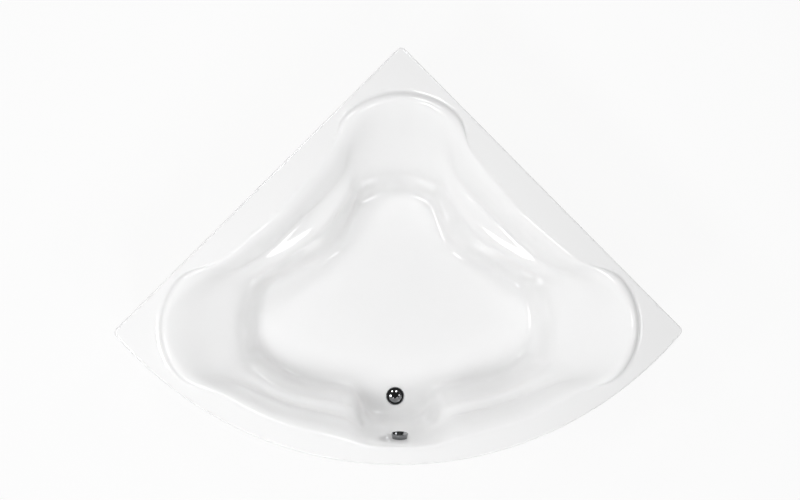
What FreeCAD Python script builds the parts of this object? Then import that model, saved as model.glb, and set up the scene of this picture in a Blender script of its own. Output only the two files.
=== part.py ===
import FreeCAD, Part
import math
import os

# Acrylic corner bath: a vacuum-formed acrylic shell on a laminate backing, carried by a steel leg frame
# with five levelling feet, closed at the front by a curved apron, with a pop-up waste and its trap.
# Millimetres. +Z up, +Y towards the room corner, origin on the floor below the middle of the outer box.

# Plan of the bath
WALL_SIDE = 1500.0           # each straight side, corner to corner before rounding
BOW = 496.0                  # bow front beyond the line between the two side corners
CORNER_RADIUS = 20.0         # rounding of the three corners
INNER_CORNER = 4.0           # smallest rounding of an outline drawn inside the rim

# Heights and sheets
FLOOR_Z = 210.0              # room floor to the floor of the basin
BASIN_DEPTH = 430.0          # flat of the rim to the floor of the basin
LIP_HEIGHT = 17.0            # headrest lips above the rim
SKIRT_DROP = 35.0            # turned-down outer edge of the rim
RIM_EDGE_RADIUS = 6.0        # rounding along the outer edge of the rim
ACRYLIC = 5.0                # acrylic sheet
LAMINATE = 4.0               # glass-fibre laminate under it
BOND = 0.3                   # resin line between the two
SHEET_GAP = 1.0              # laminate edge to the turned-down edge, the drain and the overflow

# Headrest lobes: the foot of each lip is part of an ellipse
SIDE_LOBE_REACH = 210.0      # half axis along the lobe
SIDE_LOBE_HALF = 241.0       # half axis across the lobe
LOBE_WALL_RIM = 87.0         # rim width between a side lobe and its wall
LOBE_FRONT_RIM = 79.0        # rim width between a side lobe and the bow front
BACK_LOBE_SETBACK = 174.0    # room corner to the tip of the lobe
BACK_LOBE_REACH = 206.0
BACK_LOBE_HALF = 256.0

# Flanks, front and floor of the basin
FLANK_SWELL = 34.0           # inward swell of the rim edge between two lobes
FRONT_RIM = 84.0             # rim width along the front armrests
BAY_RIM = 66.0               # rim width at the drain bay
BAY_HALF = 105.0             # half width of the drain bay
BAY_SHOULDER = 150.0         # from the bay to the full front armrest
BAY_RUN = 72.0               # plan run of the walls, edge to foot: drain bay,
FRONT_RUN = 168.0            # front armrests,
SIDE_RUN = 335.0             # tips of the side lobes,
FLANK_RUN = 245.0            # back armrests
BACK_RUN = 345.0             # and tip of the back lobe
ARM_WALL = 72.0              # plan width of the wall above an armrest
LIP_FOOT = 8.0               # steep outer wall of a lip
LIP_CREST = 15.0             # width of its crest
FOCUS_FROM_FRONT = 560.0     # point that the basin walls lean towards
FLOOR_EDGE = 45.0            # foot of the wall to the flat floor
RIM_STRIP = 26.0             # formed strip of rim outside the basin edge

# Drain and pop-up plug
DRAIN_FROM_FRONT = 214.0     # bow front to the drain axis
DRAIN_HOLE_R = 25.0
RECESS_R = 39.0              # pressed recess that takes the flange
RECESS_DEPTH = 2.5
FLANGE_R = 36.0
FLANGE_RISE = 0.8            # flange above the floor of the basin
FLANGE_CROWN = 1.5           # fall of the flange towards its edge
MOUTH_R = 17.5               # mouth of the drain
MOUTH_DEPTH = 4.0
THROAT_R = 23.0              # threaded tube of the flange
THROAT_WALL = 3.0
THROAT_LENGTH = 22.0
FLANGE_GASKET = 1.0
BODY_GASKET = 3.0
BODY_FLANGE_R = 39.0
BODY_FLANGE = 5.0
BODY_R = 31.0                # chamber of the drain body
BODY_WALL = 3.5
COLLAR_HEIGHT = 14.0         # threaded collar that takes the flange tube
CHAMBER_HEIGHT = 44.0        # chamber below the collar
THREAD_GAP = 0.2
OUTLET_R = 20.0              # pipe of the drain outlet and the trap
PIPE_WALL = 2.5
OUTLET_DROP = 16.0
PLUG_R = 25.0
PLUG_DOME = 5.0
PLUG_RIM = 2.0
PLUG_BOSS_R = 13.5
PLUG_BOSS = 5.0
SEAL_GAP = 0.6               # plug seal to the mouth
STEM_R = 3.0
RUN_GAP = 0.05               # running clearance of shafts and stems
MOVE_GAP = 0.4               # gap between pieces that pass each other
PLUG_LIFT = 10.0
ROCKER_ARM = 18.0            # pivot to the tip under the stem
ROCKER_TIP_R = 3.0
ROCKER_SHAFT_R = 3.0
ROCKER_HUB_R = 5.0
ROCKER_WIDTH = 8.0
GUIDE_R = 6.5                # hub that guides the plug stem
GUIDE_HEIGHT = 6.0
GUIDE_ARM = 4.0

# Overflow
OVERFLOW_DEPTH = 115.0       # below the rim, on the front wall
OVERFLOW_HOLE_R = 26.0
OVERFLOW_GASKET = 3.0
OVERFLOW_FLANGE_R = 34.0
OVERFLOW_FLANGE = 4.0
OVERFLOW_R = 28.0            # chamber behind the wall
OVERFLOW_LENGTH = 26.0
OVERFLOW_WALL = 3.0
OVERFLOW_HUB_R = 8.0
ROSETTE_R = 29.0
ROSETTE_RISE = 4.0
ROSETTE_HUB_R = 9.0
ROSETTE_ARM = 7.0
ROSETTE_ARMS = 3
KNOB_FACE_R = 32.5
KNOB_BACK_R = 29.0
KNOB_THICK = 15.0
KNOB_EDGE = 2.0
SPINDLE_R = 4.0
SPINDLE_HEAD = 8.0           # spindle inside the knob

# Hose, control cable and trap
HOSE_R = 15.0
HOSE_WALL = 2.0
HOSE_BEND = 58.0
HOSE_NUT_WALL = 3.5
HOSE_NUT = 15.0
SPIGOT = 18.0                # hose spigots on the two bodies
SPIGOT_WALL = 2.5
HOSE_GAP = 0.1
CABLE_R = 3.0
CABLE_SIDE = 25.0            # cable beside the hose
CABLE_BEND = 50.0
CABLE_BOSS_R = 4.5
CABLE_BOSS = 30.0            # body axis to the end of the cable boss
TRAP_R = 45.0
TRAP_WALL = 3.0
TRAP_CLEAR = 14.0            # clean-out cap above the room floor
TRAP_CAP = 6.0
TRAP_OUTLET = 56.0           # spigot for the waste pipe, beyond its collar
TRAP_COLLAR = 6.0            # drum to the face of the collar
TRAP_HEAD = 4.0              # outlet pipe below the top of the trap
TRAP_DIP = 10.0              # dip tube above the clean-out cap
COUPLING_R = 27.0
COUPLING_GRIP = 12.0

# Board, battens and blocks
BOARD = 16.0
BATTEN = 18.0
BATTEN_WIDTH = 40.0
BATTEN_END = 135.0           # corner to the end of a wall batten
FRONT_BATTEN_WIDTH = 46.0
FRONT_BATTEN_CLEAR = 20.0    # front battens beside the shoulders of the drain bay
FRONT_BATTEN_END = 220.0     # side corner to the far end of a front batten
BLOCK_LONG = 80.0
BLOCK_SHORT = 60.0

# Leg frame and feet
TUBE = 25.0
TUBE_WALL = 1.5
BACK_POST_FROM_CORNER = 92.0
SIDE_PLATE_CLEAR = 9.0       # apron flange to the top plate of a side post
FRONT_PLATE_CLEAR = 1.5      # and to that of a front post
FRONT_POST_X = 420.0
POST_BOTTOM = 62.0
PLATE = 3.0
PLATE_LENGTH = 60.0
PLATE_SCREW = 22.0           # plate screws from the post axis
INSERT_FLANGE = 3.0
INSERT_PLUG = 20.0
INSERT_GAP = 0.1
NUT_ACROSS = 19.0
NUT_HEIGHT = 9.0
STUD_R = 6.0
STUD_LENGTH = 112.0
STUD_SEAT = 5.0              # bottom of the stud above the room floor
PAD_R = 30.0
PAD_HEIGHT = 9.0
PAD_HUB_R = 13.0
PAD_HUB = 7.0
PAD_EDGE = 3.0

# Apron, hangers and screws
APRON_INSET = 14.0
APRON = 4.0
APRON_CLEAR = 15.0           # apron above the room floor
APRON_FLANGE = 15.0
APRON_WALL_GAP = 7.0         # apron ends to the walls
BRACKET = 3.0
BRACKET_HEIGHT = 40.0
BRACKET_Z = 90.0
BRACKET_GRIP = 20.0
BRACKET_FOOT = 34.0
HANGER = 3.0
HANGER_WIDTH = 60.0
HANGER_PLATE = 55.0
HANGER_DROP = 5.0            # step of the hanger below the turned-down edge
HANGER_FROM_CORNER = 400.0
HANGER_HOLE_R = 3.25
HANGER_HOLE_PITCH = 40.0
SCREW_R = 2.5
SCREW_HEAD_R = 4.5
SCREW_HEAD = 2.5
SCREW_BITE = 12.0
PILOT_GAP = 0.1
APRON_SCREW_END = 40.0       # apron screws from the ends of a front batten
BOARD_SCREW_X = 330.0
BOARD_SCREW_STEP = 170.0

ROOT2 = math.sqrt(2.0)
Vec = FreeCAD.Vector
UP = Vec(0, 0, 1)

# Plan worked out from the sizes
HALF_SPAN = WALL_SIDE / ROOT2
CORNER_TO_FRONT = HALF_SPAN + BOW
FRONT_R = (HALF_SPAN ** 2 + BOW ** 2) / (2.0 * BOW)
BACK_Y = (CORNER_TO_FRONT + CORNER_RADIUS * (ROOT2 - 1.0)) / 2.0
FRONT_Y = BACK_Y - CORNER_TO_FRONT
SIDE_Y = BACK_Y - HALF_SPAN
ARC_Y = FRONT_Y + FRONT_R
FOCUS = Vec(0, FRONT_Y + FOCUS_FROM_FRONT, 0)
SHOULDER_X = BAY_HALF + BAY_SHOULDER
DRAIN_Y = FRONT_Y + DRAIN_FROM_FRONT
WALL_OUT = Vec(1, 1, 0) / ROOT2
WALL_ALONG = Vec(1, -1, 0) / ROOT2
FRONT_BATTEN_FROM = SHOULDER_X + FRONT_BATTEN_CLEAR
FRONT_BATTEN_TO = HALF_SPAN - FRONT_BATTEN_END
APRON_SCREW_X = (
    FRONT_BATTEN_FROM + APRON_SCREW_END,
    (FRONT_BATTEN_FROM + FRONT_BATTEN_TO) / 2.0,
    FRONT_BATTEN_TO - APRON_SCREW_END,
)

# Heights worked out from the sizes
SHEETS = ACRYLIC + BOND + LAMINATE
RIM_HEIGHT = FLOOR_Z + BASIN_DEPTH
RIM_UNDER = RIM_HEIGHT - SHEETS
SKIRT_Z = RIM_HEIGHT - SKIRT_DROP
BOARD_TOP = FLOOR_Z - SHEETS
BOARD_UNDER = BOARD_TOP - BOARD
BEARER_UNDER = BOARD_UNDER - TUBE
BLOCK_UNDER = RIM_UNDER - BATTEN
RECESS_Z = FLOOR_Z - RECESS_DEPTH
RECESS_UNDER = RECESS_Z - ACRYLIC
FLANGE_TOP = FLOOR_Z + FLANGE_RISE
BODY_TOP = RECESS_UNDER - BODY_GASKET
CHAMBER_TOP = BODY_TOP - COLLAR_HEIGHT
CHAMBER_LOW = CHAMBER_TOP - CHAMBER_HEIGHT
OUTLET_LOW = CHAMBER_LOW - OUTLET_DROP
PORT_Z = (CHAMBER_TOP + CHAMBER_LOW) / 2.0
PLUG_Z = FLANGE_TOP + MOVE_GAP
ROCKER_Z = CHAMBER_LOW + BODY_WALL + PLUG_LIFT / 2.0 + ROCKER_TIP_R + 2.0 * MOVE_GAP
ROCKER_TILT = math.asin(PLUG_LIFT / 2.0 / ROCKER_ARM)
STEM_LOW = ROCKER_Z - PLUG_LIFT / 2.0 + ROCKER_TIP_R + MOVE_GAP
TRAP_LOW = TRAP_CLEAR + TRAP_CAP
TRAP_TOP = OUTLET_LOW - COUPLING_GRIP
TRAP_OUTLET_Z = TRAP_TOP - TRAP_HEAD - OUTLET_R


def save(shape, name):
    shape.exportStep("parts/%s.step" % name)


def mirrored(shape):
    return shape.mirror(Vec(0, 0, 0), Vec(1, 0, 0))


def both_sides(shape):
    return Part.makeCompound([shape, mirrored(shape)])


def box(x0, x1, y0, y1, z0, z1):
    return Part.makeBox(x1 - x0, y1 - y0, z1 - z0, Vec(x0, y0, z0))


def rod(radius, start, end):
    return Part.makeCylinder(radius, (end - start).Length, start, end - start)


def ring_z(outer, inner, low, high, x=0.0, y=0.0):
    """Upright ring between two heights."""
    return rod(outer, Vec(x, y, low), Vec(x, y, high)).cut(rod(inner, Vec(x, y, low), Vec(x, y, high)))


def spun(points, base, axis):
    """Solid of revolution from (radius, height along the axis) points."""
    side = Vec(1, 0, 0)
    wire = Part.makePolygon([base + side * r + axis * h for r, h in points + points[:1]])
    return Part.Face(wire).revolve(base, axis, 360)


def prism(points, low, high):
    """Upright prism on a plan polygon."""
    wire = Part.makePolygon([Vec(p.x, p.y, low) for p in points + points[:1]])
    return Part.Face(wire).extrude(UP * (high - low))


def side_corner(inset):
    """Where the right wall and the bow front meet, both moved inwards."""
    wall = BACK_Y - inset * ROOT2
    radius = FRONT_R - inset
    total = wall + ARC_Y
    root = total ** 2 - 2.0 * (wall ** 2 + ARC_Y ** 2 - radius ** 2)
    y = (total - math.sqrt(root)) / 2.0
    return Vec(wall - y, y, 0)


def outline(inset, z):
    """Plan of the bath moved inwards: two straight walls, the bow front and three rounded corners."""
    radius = max(CORNER_RADIUS - inset, INNER_CORNER)
    back = Vec(0, BACK_Y - (inset + radius) * ROOT2, z)
    side = side_corner(inset + radius) + UP * z
    arc_out = (side - Vec(0, ARC_Y, z)).normalize()
    corner_out = (WALL_OUT + arc_out).normalize()
    wall_from = back + WALL_OUT * radius
    wall_to = side + WALL_OUT * radius
    tip = side + corner_out * radius
    arc_from = side + arc_out * radius

    def left(p):
        return Vec(-p.x, p.y, p.z)

    return Part.Wire([
        Part.makeLine(wall_from, wall_to),
        Part.Arc(wall_to, tip, arc_from).toShape(),
        Part.Arc(arc_from, Vec(0, FRONT_Y + inset, z), left(arc_from)).toShape(),
        Part.Arc(left(arc_from), left(tip), left(wall_to)).toShape(),
        Part.makeLine(left(wall_to), left(wall_from)),
        Part.Arc(left(wall_from), back + Vec(0, radius, 0), wall_from).toShape(),
    ])


def front_point(x, inset):
    """Point on the bow front moved inwards."""
    radius = FRONT_R - inset
    return Vec(x, ARC_Y - math.sqrt(radius ** 2 - x ** 2), 0)


def side_lobe_mid():
    """Middle of the right lobe: where its whole width fits between its wall and the bow front."""
    wall = BACK_Y - LOBE_WALL_RIM * ROOT2
    width = 2.0 * SIDE_LOBE_HALF + ARC_Y - wall
    x = (math.sqrt(2.0 * (FRONT_R - LOBE_FRONT_RIM) ** 2 - width ** 2) - width) / 2.0
    return Vec(x, wall - x - SIDE_LOBE_HALF, 0)


def basin_stations():
    """Sections of the right half, from the drain bay round to the back lobe. Each has its point on the
    basin edge, the plan run of its wall, the plan width of the wall above its armrest, the shares of bay,
    armrest and headrest in its shape, and the share of the lip."""
    side_mid = side_lobe_mid()
    back_mid = Vec(0, BACK_Y - BACK_LOBE_SETBACK - BACK_LOBE_REACH, 0)

    def side(degrees):
        turn = math.radians(degrees)
        return side_mid + Vec(SIDE_LOBE_REACH * math.cos(turn), SIDE_LOBE_HALF * math.sin(turn), 0)

    def back(degrees):
        turn = math.radians(degrees)
        return back_mid + Vec(BACK_LOBE_HALF * math.cos(turn), BACK_LOBE_REACH * math.sin(turn), 0)

    chord = back(0) - side(90)
    swell = Vec(-chord.y, chord.x, 0).normalize() * FLANK_SWELL

    def flank(share):
        return side(90) + chord * share + swell * math.sin(math.pi * share)

    half_way = front_point(BAY_HALF + BAY_SHOULDER / 2.0, (BAY_RIM + FRONT_RIM) / 2.0)

    def front(share):
        return front_point(SHOULDER_X + (side(-90).x - SHOULDER_X) * share, FRONT_RIM)

    return [
        (front_point(0, BAY_RIM), BAY_RUN, ARM_WALL, (1.0, 0.0, 0.0), 0.0),
        (front_point(BAY_HALF, BAY_RIM), 1.1 * BAY_RUN, ARM_WALL, (0.9, 0.1, 0.0), 0.0),
        (half_way, 0.72 * FRONT_RUN, 0.8 * ARM_WALL, (0.4, 0.6, 0.0), 0.0),
        (front(0), 0.95 * FRONT_RUN, 0.9 * ARM_WALL, (0.03, 0.97, 0.0), 0.0),
        (front(0.33), FRONT_RUN, 0.95 * ARM_WALL, (0.0, 1.0, 0.0), 0.0),
        (front(0.67), FRONT_RUN, 0.95 * ARM_WALL, (0.0, 1.0, 0.0), 0.0),
        (side(-90), 0.62 * SIDE_RUN, 1.05 * ARM_WALL, (0.0, 0.7, 0.3), 0.25),
        (side(-54), 0.84 * SIDE_RUN, 1.6 * ARM_WALL, (0.0, 0.2, 0.8), 0.85),
        (side(-18), 0.98 * SIDE_RUN, 2.0 * ARM_WALL, (0.0, 0.0, 1.0), 1.0),
        (side(18), SIDE_RUN, 2.2 * ARM_WALL, (0.0, 0.05, 0.95), 1.0),
        (side(54), 0.89 * SIDE_RUN, 2.1 * ARM_WALL, (0.0, 0.45, 0.55), 1.0),
        (side(90), 0.96 * FLANK_RUN, 1.25 * ARM_WALL, (0.0, 0.85, 0.15), 0.3),
        (flank(0.25), 0.94 * FLANK_RUN, 1.15 * ARM_WALL, (0.0, 1.0, 0.0), 0.0),
        (flank(0.5), FLANK_RUN, ARM_WALL, (0.0, 1.0, 0.0), 0.0),
        (flank(0.75), 1.02 * FLANK_RUN, 1.2 * ARM_WALL, (0.0, 1.0, 0.0), 0.0),
        (back(0), 0.7 * BACK_RUN, 1.6 * ARM_WALL, (0.0, 0.85, 0.15), 0.3),
        (back(30), 0.85 * BACK_RUN, 2.3 * ARM_WALL, (0.0, 0.5, 0.5), 1.0),
        (back(60), 0.96 * BACK_RUN, 2.7 * ARM_WALL, (0.0, 0.1, 0.9), 1.0),
        (back(90), BACK_RUN, 2.8 * ARM_WALL, (0.0, 0.0, 1.0), 1.0),
    ]


# Wall sections from the rim down to the floor. Each row has a distance inwards from the basin edge, a share
# of the armrest wall and a share of the whole run to add to it, and a share of the depth.
RIM_ROWS = [(-RIM_STRIP, 0, 0, 0), (-RIM_STRIP * 0.65, 0, 0, 0), (-RIM_STRIP * 0.3, 0, 0, 0)]
FLOOR_ROWS = [(FLOOR_EDGE * 0.5, 0, 1, 1), (FLOOR_EDGE, 0, 1, 1)]
HEADREST = RIM_ROWS + [
    (LIP_FOOT * 0.25, 0, 0, 0.000),
    (LIP_FOOT, 0, 0, 0.004),
    (LIP_FOOT * 2.0, 0, 0, 0.014),
    (LIP_FOOT * 2.0 + LIP_CREST, 0, 0, 0.040),
    (LIP_FOOT * 2.0 + LIP_CREST * 2.2, 0, 0, 0.092),
    (0, 0, 0.29, 0.180),
    (0, 0, 0.43, 0.270),
    (0, 0, 0.56, 0.355),
    (0, 0, 0.69, 0.440),
    (0, 0, 0.81, 0.530),
    (0, 0, 0.875, 0.680),
    (0, 0, 0.93, 0.860),
    (0, 0, 1.00, 0.990),
] + FLOOR_ROWS
ARMREST = RIM_ROWS + [
    (0, 0, 0, 0.002),
    (LIP_FOOT, 0, 0, 0.012),
    (LIP_FOOT * 2.0, 0.16, 0, 0.056),
    (LIP_FOOT * 2.0, 0.44, 0, 0.150),
    (LIP_FOOT * 0.5, 0.86, 0, 0.300),
    (0, 0.985, 0, 0.350),
    (0, 0.93, 0.07, 0.361),
    (0, 0.68, 0.32, 0.385),
    (0, 0.53, 0.47, 0.420),
    (0, 0.46, 0.54, 0.500),
    (0, 0.31, 0.69, 0.730),
    (0, 0.16, 0.84, 0.915),
    (0, 0, 1.00, 0.995),
] + FLOOR_ROWS
BAY = RIM_ROWS + [
    (0, 0, 0, 0.002),
    (0, 0, 0.06, 0.020),
    (0, 0, 0.13, 0.070),
    (0, 0, 0.19, 0.150),
    (0, 0, 0.25, 0.240),
    (0, 0, 0.32, 0.340),
    (0, 0, 0.39, 0.440),
    (0, 0, 0.46, 0.540),
    (0, 0, 0.54, 0.640),
    (0, 0, 0.62, 0.730),
    (0, 0, 0.71, 0.830),
    (0, 0, 0.83, 0.930),
    (0, 0, 1.00, 0.997),
] + FLOOR_ROWS
ROWS = len(BAY)
# Rise of the lip along the same rows, in lip heights
LIP_RISE = [0, 0, 0, 0.15, 0.95, 1.75, 2.35, 2.6, 1.6, 0.5, 0.1] + [0] * (ROWS - 11)


def section(edge, run, arm_wall, shares, lip):
    """Points of the basin's section at one station, from the rim to the floor."""
    lean = (FOCUS - edge).normalize()
    points = []
    for rise, *rows in zip(LIP_RISE, BAY, ARMREST, HEADREST):
        inward, arm, whole, deep = [sum(s * v for s, v in zip(shares, column)) for column in zip(*rows)]
        height = RIM_HEIGHT - deep * BASIN_DEPTH + rise * lip * LIP_HEIGHT
        points.append(edge + lean * (inward + arm * arm_wall + whole * run) + UP * height)
    return points


def basin_net():
    """All sections round the basin, the left half mirrored from the right."""
    right = [section(*station) for station in basin_stations()]
    left = [[Vec(-p.x, p.y, p.z) for p in points] for points in right[-2:0:-1]]
    return right + left


def offset_net(depth):
    """The basin's net moved outwards, square to the sheet; rim and floor rows move straight down."""
    count = len(BASIN)
    moved = []
    for i, points in enumerate(BASIN):
        column = []
        for k, p in enumerate(points):
            normal = UP
            if 1 < k < ROWS - 2:
                along = BASIN[(i + 1) % count][k] - BASIN[i - 1][k]
                normal = along.cross(points[k + 1] - points[k - 1]).normalize()
            column.append(p - normal * depth)
        moved.append(column)
    return moved


def ring_poles(points):
    """Poles of the closed uniform cubic curve through the points of one ring, by repeated correction."""
    poles = list(points)
    for _ in range(60):
        poles = [(p * 6.0 - poles[i - 1] - poles[(i + 1) % len(points)]) / 4.0 for i, p in enumerate(points)]
    return poles


def basin_surface(depth):
    """Smooth sheet at a depth below the basin's own surface: through the sections round the basin,
    drawn towards their points from the rim to the floor."""
    net = offset_net(depth)
    count = len(net)
    rings = [ring_poles([column[k] for column in net]) for k in range(ROWS)]
    poles = [[ring[i - 1] for ring in rings] for i in range(count)]
    surface = Part.BSplineSurface()
    surface.buildFromPolesMultsKnots(
        poles, [1] * (count + 1), [4] + [1] * (ROWS - 4) + [4],
        list(range(count + 1)), list(range(ROWS - 2)), True, False, 3, 3)
    return surface


def halves(surface):
    """The right and the left half of a basin sheet, as open patches."""
    u0, u1, v0, v1 = surface.bounds()
    middle = (u0 + u1) / 2.0
    patches = []
    for low, high in ((u0, middle), (middle, u1)):
        patch = surface.copy()
        patch.segment(low, high, v0, v1)
        patches.append(patch)
    return patches


def boundary(patches, end):
    """Closed wire along the rim side (0) or the floor side (1) of a basin sheet."""
    edges = [patch.vIso(patch.bounds()[2 + end]).toShape() for patch in patches]
    return Part.Wire(Part.__sortEdges__(edges))


def flat_ring(outer, inner):
    return Part.makeFace([outer, inner], "Part::FaceMakerBullseye")


def upright(inset, high, low):
    return outline(inset, high).extrude(UP * (low - high)).Faces


def pressed_sheet(edge_faces, *surfaces):
    """Closed solid of one formed sheet, from the faces along its outer edge and its upper and lower
    surfaces, each given by its depth below the basin's own surface and the inset of its outline."""
    faces = list(edge_faces)
    for depth, inset in surfaces:
        patches = halves(basin_surface(depth))
        faces += [patch.toShape() for patch in patches]
        faces.append(Part.Face(boundary(patches, 1)))
        faces.append(flat_ring(outline(inset, RIM_HEIGHT - depth), boundary(patches, 0)))
    skin = Part.makeShell(faces)
    skin.sewShape()
    solid = Part.Solid(skin)
    if solid.Volume < 0:
        solid.reverse()
    return solid


def overflow_seat():
    """Point and inward normal of the front wall where the overflow sits."""
    surface = basin_surface(0.0)
    low, high = surface.bounds()[2:]
    for _ in range(50):
        middle = (low + high) / 2.0
        if surface.value(0, middle).z > RIM_HEIGHT - OVERFLOW_DEPTH:
            low = middle
        else:
            high = middle
    normal = surface.normal(0, middle)
    if normal.y < 0:
        normal = normal * -1.0
    return surface.value(0, middle), Vec(0, normal.y, normal.z).normalize()


BASIN = basin_net()
OVERFLOW_AT, OVERFLOW_IN = overflow_seat()


def overflow_rod(radius, start, end):
    """Round bar along the overflow axis, measured from the front wall into the basin."""
    return rod(radius, OVERFLOW_AT + OVERFLOW_IN * start, OVERFLOW_AT + OVERFLOW_IN * end)


def drain_rod(radius, low, high):
    return rod(radius, Vec(0, DRAIN_Y, low), Vec(0, DRAIN_Y, high))


def drain_ring(outer, inner, low, high):
    return ring_z(outer, inner, low, high, 0, DRAIN_Y)


def acrylic_shell():
    edge = upright(0, RIM_HEIGHT, SKIRT_Z) + upright(ACRYLIC, RIM_HEIGHT - ACRYLIC, SKIRT_Z)
    edge.append(flat_ring(outline(0, SKIRT_Z), outline(ACRYLIC, SKIRT_Z)))
    shell = pressed_sheet(edge, (0.0, 0.0), (ACRYLIC, ACRYLIC))
    shell = shell.fuse(drain_rod(RECESS_R + ACRYLIC, RECESS_UNDER, FLOOR_Z - ACRYLIC / 2.0))
    shell = shell.cut(drain_rod(RECESS_R, RECESS_Z, FLOOR_Z + ACRYLIC))
    shell = shell.cut(drain_rod(DRAIN_HOLE_R, RECESS_UNDER - ACRYLIC, FLOOR_Z))
    shell = shell.cut(overflow_rod(OVERFLOW_HOLE_R, -2.0 * SHEETS, 2.0 * SHEETS))
    rim = [e for e in shell.Edges if min(v.Z for v in e.Vertexes) > RIM_HEIGHT - BOND]
    outer = [e for e in rim if not isinstance(e.Curve, Part.BSplineCurve)]
    return shell.makeFillet(RIM_EDGE_RADIUS, outer).Solids[0]


def laminate_backing():
    inset = ACRYLIC + SHEET_GAP
    edge = upright(inset, RIM_HEIGHT - ACRYLIC - BOND, RIM_UNDER)
    sheet = pressed_sheet(edge, (ACRYLIC + BOND, inset), (SHEETS, inset))
    sheet = sheet.cut(drain_rod(RECESS_R + ACRYLIC + SHEET_GAP, BOARD_UNDER, FLOOR_Z))
    return sheet.cut(overflow_rod(OVERFLOW_FLANGE_R + SHEET_GAP, -3.0 * SHEETS, 3.0 * SHEETS))


def screw(at, direction, length):
    """Round-headed screw driven along a direction, its head outside the point it is driven at."""
    head = rod(SCREW_HEAD_R, at - direction * SCREW_HEAD, at)
    return head.fuse(rod(SCREW_R, at, at + direction * length))


def drilled(shape, places, direction, length):
    """Shape with screw holes, each from its place along the direction."""
    for at in places:
        shape = shape.cut(rod(SCREW_R + PILOT_GAP, at, at + direction * length))
    return shape


# Leg positions
BACK_POST = Vec(0, BACK_Y - BACK_POST_FROM_CORNER, 0)
FLANGE_INSET = APRON_INSET + APRON + APRON_FLANGE
HALF_TUBE = TUBE / 2.0
HALF_PLATE = PLATE_LENGTH / 2.0
SIDE_REACH = FRONT_R - FLANGE_INSET - SIDE_PLATE_CLEAR
SIDE_POST = Vec(math.sqrt(SIDE_REACH ** 2 - (ARC_Y - SIDE_Y + HALF_PLATE) ** 2) - HALF_TUBE, SIDE_Y, 0)
FRONT_CORNER = front_point(FRONT_POST_X + HALF_PLATE, FLANGE_INSET + FRONT_PLATE_CLEAR)
FRONT_POST = FRONT_CORNER + Vec(-HALF_PLATE, HALF_TUBE, 0)
LEGS = [
    ("back", BACK_POST, Vec(1, 0, 0)),
    ("left", Vec(-SIDE_POST.x, SIDE_POST.y, 0), Vec(0, 1, 0)),
    ("right", SIDE_POST, Vec(0, 1, 0)),
    ("front_left", Vec(-FRONT_POST.x, FRONT_POST.y, 0), Vec(1, 0, 0)),
    ("front_right", FRONT_POST, Vec(1, 0, 0)),
]
PLATE_Z = BLOCK_UNDER - PLATE
PLATE_SCREWS = [at + along * (PLATE_SCREW * side) + UP * PLATE_Z for _, at, along in LEGS for side in (-1, 1)]
APRON_SCREW_INSET = APRON_INSET + APRON + APRON_FLANGE / 2.0
APRON_TOP_SCREWS = [front_point(side * x, APRON_SCREW_INSET) + UP * (BLOCK_UNDER - APRON)
                    for x in APRON_SCREW_X for side in (-1, 1)]
BOARD_SCREWS = [
    Vec(-BOARD_SCREW_X, SIDE_Y, BEARER_UNDER),
    Vec(BOARD_SCREW_X, SIDE_Y, BEARER_UNDER),
    Vec(0, SIDE_Y + BOARD_SCREW_STEP, BEARER_UNDER),
    Vec(0, SIDE_Y + 2.0 * BOARD_SCREW_STEP, BEARER_UNDER),
    Vec(-FRONT_POST_X, SIDE_Y - BOARD_SCREW_STEP / 2.0, BEARER_UNDER),
    Vec(FRONT_POST_X, SIDE_Y - BOARD_SCREW_STEP / 2.0, BEARER_UNDER),
]


def base_board():
    """Board under the flat floor, cut straight between points of the floor's edge, behind the drain."""
    right = [BASIN[i][-1] for i in (5, 7, 8, 9, 10, 12, 14, 16, 17)]
    points = right + [Vec(-p.x, p.y, p.z) for p in reversed(right)]
    return drilled(prism(points, BOARD_UNDER, BOARD_TOP), BOARD_SCREWS, UP, TUBE + SCREW_BITE)


def wall_prism(start, end, outer, inner, low, high):
    """Block along the right wall: from and to along the wall, its insets and its heights."""
    corner = Vec(0, BACK_Y, 0)
    points = [corner + WALL_ALONG * u - WALL_OUT * inset
              for u, inset in ((start, outer), (end, outer), (end, inner), (start, inner))]
    return prism(points, low, high)


HOOK_INSET = ACRYLIC + SHEET_GAP


def wall_batten():
    inset = HOOK_INSET + HANGER
    return wall_prism(BATTEN_END, WALL_SIDE - BATTEN_END, inset, inset + BATTEN_WIDTH, BLOCK_UNDER, RIM_UNDER)


def hanger_places():
    return [HANGER_FROM_CORNER, WALL_SIDE - HANGER_FROM_CORNER]


def wall_hangers():
    """Two steel strips on the right wall, each hooked behind the turned-down edge of the rim."""
    step_top = SKIRT_Z - HANGER_DROP
    plate_low = step_top - HANGER_PLATE
    hole_z = (step_top - HANGER + plate_low) / 2.0
    strips = []
    for middle in hanger_places():
        a = middle - HANGER_WIDTH / 2.0
        b = middle + HANGER_WIDTH / 2.0
        strip = wall_prism(a, b, 0, HANGER, plate_low, step_top)
        strip = strip.fuse(wall_prism(a, b, 0, HOOK_INSET + HANGER, step_top - HANGER, step_top))
        strip = strip.fuse(wall_prism(a, b, HOOK_INSET, HOOK_INSET + HANGER, step_top - HANGER, RIM_UNDER))
        for side in (-0.5, 0.5):
            hole = Vec(0, BACK_Y, hole_z) + WALL_ALONG * (middle + side * HANGER_HOLE_PITCH)
            strip = strip.cut(rod(HANGER_HOLE_R, hole - WALL_OUT * (2.0 * HANGER), hole + WALL_OUT * HANGER))
        strips.append(strip.removeSplitter())
    return Part.makeCompound(strips)


def bow_ring(outer, inner, low, high):
    """Upright ring along the bow front between two insets."""
    return ring_z(FRONT_R - outer, FRONT_R - inner, low, high, 0, ARC_Y)


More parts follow.
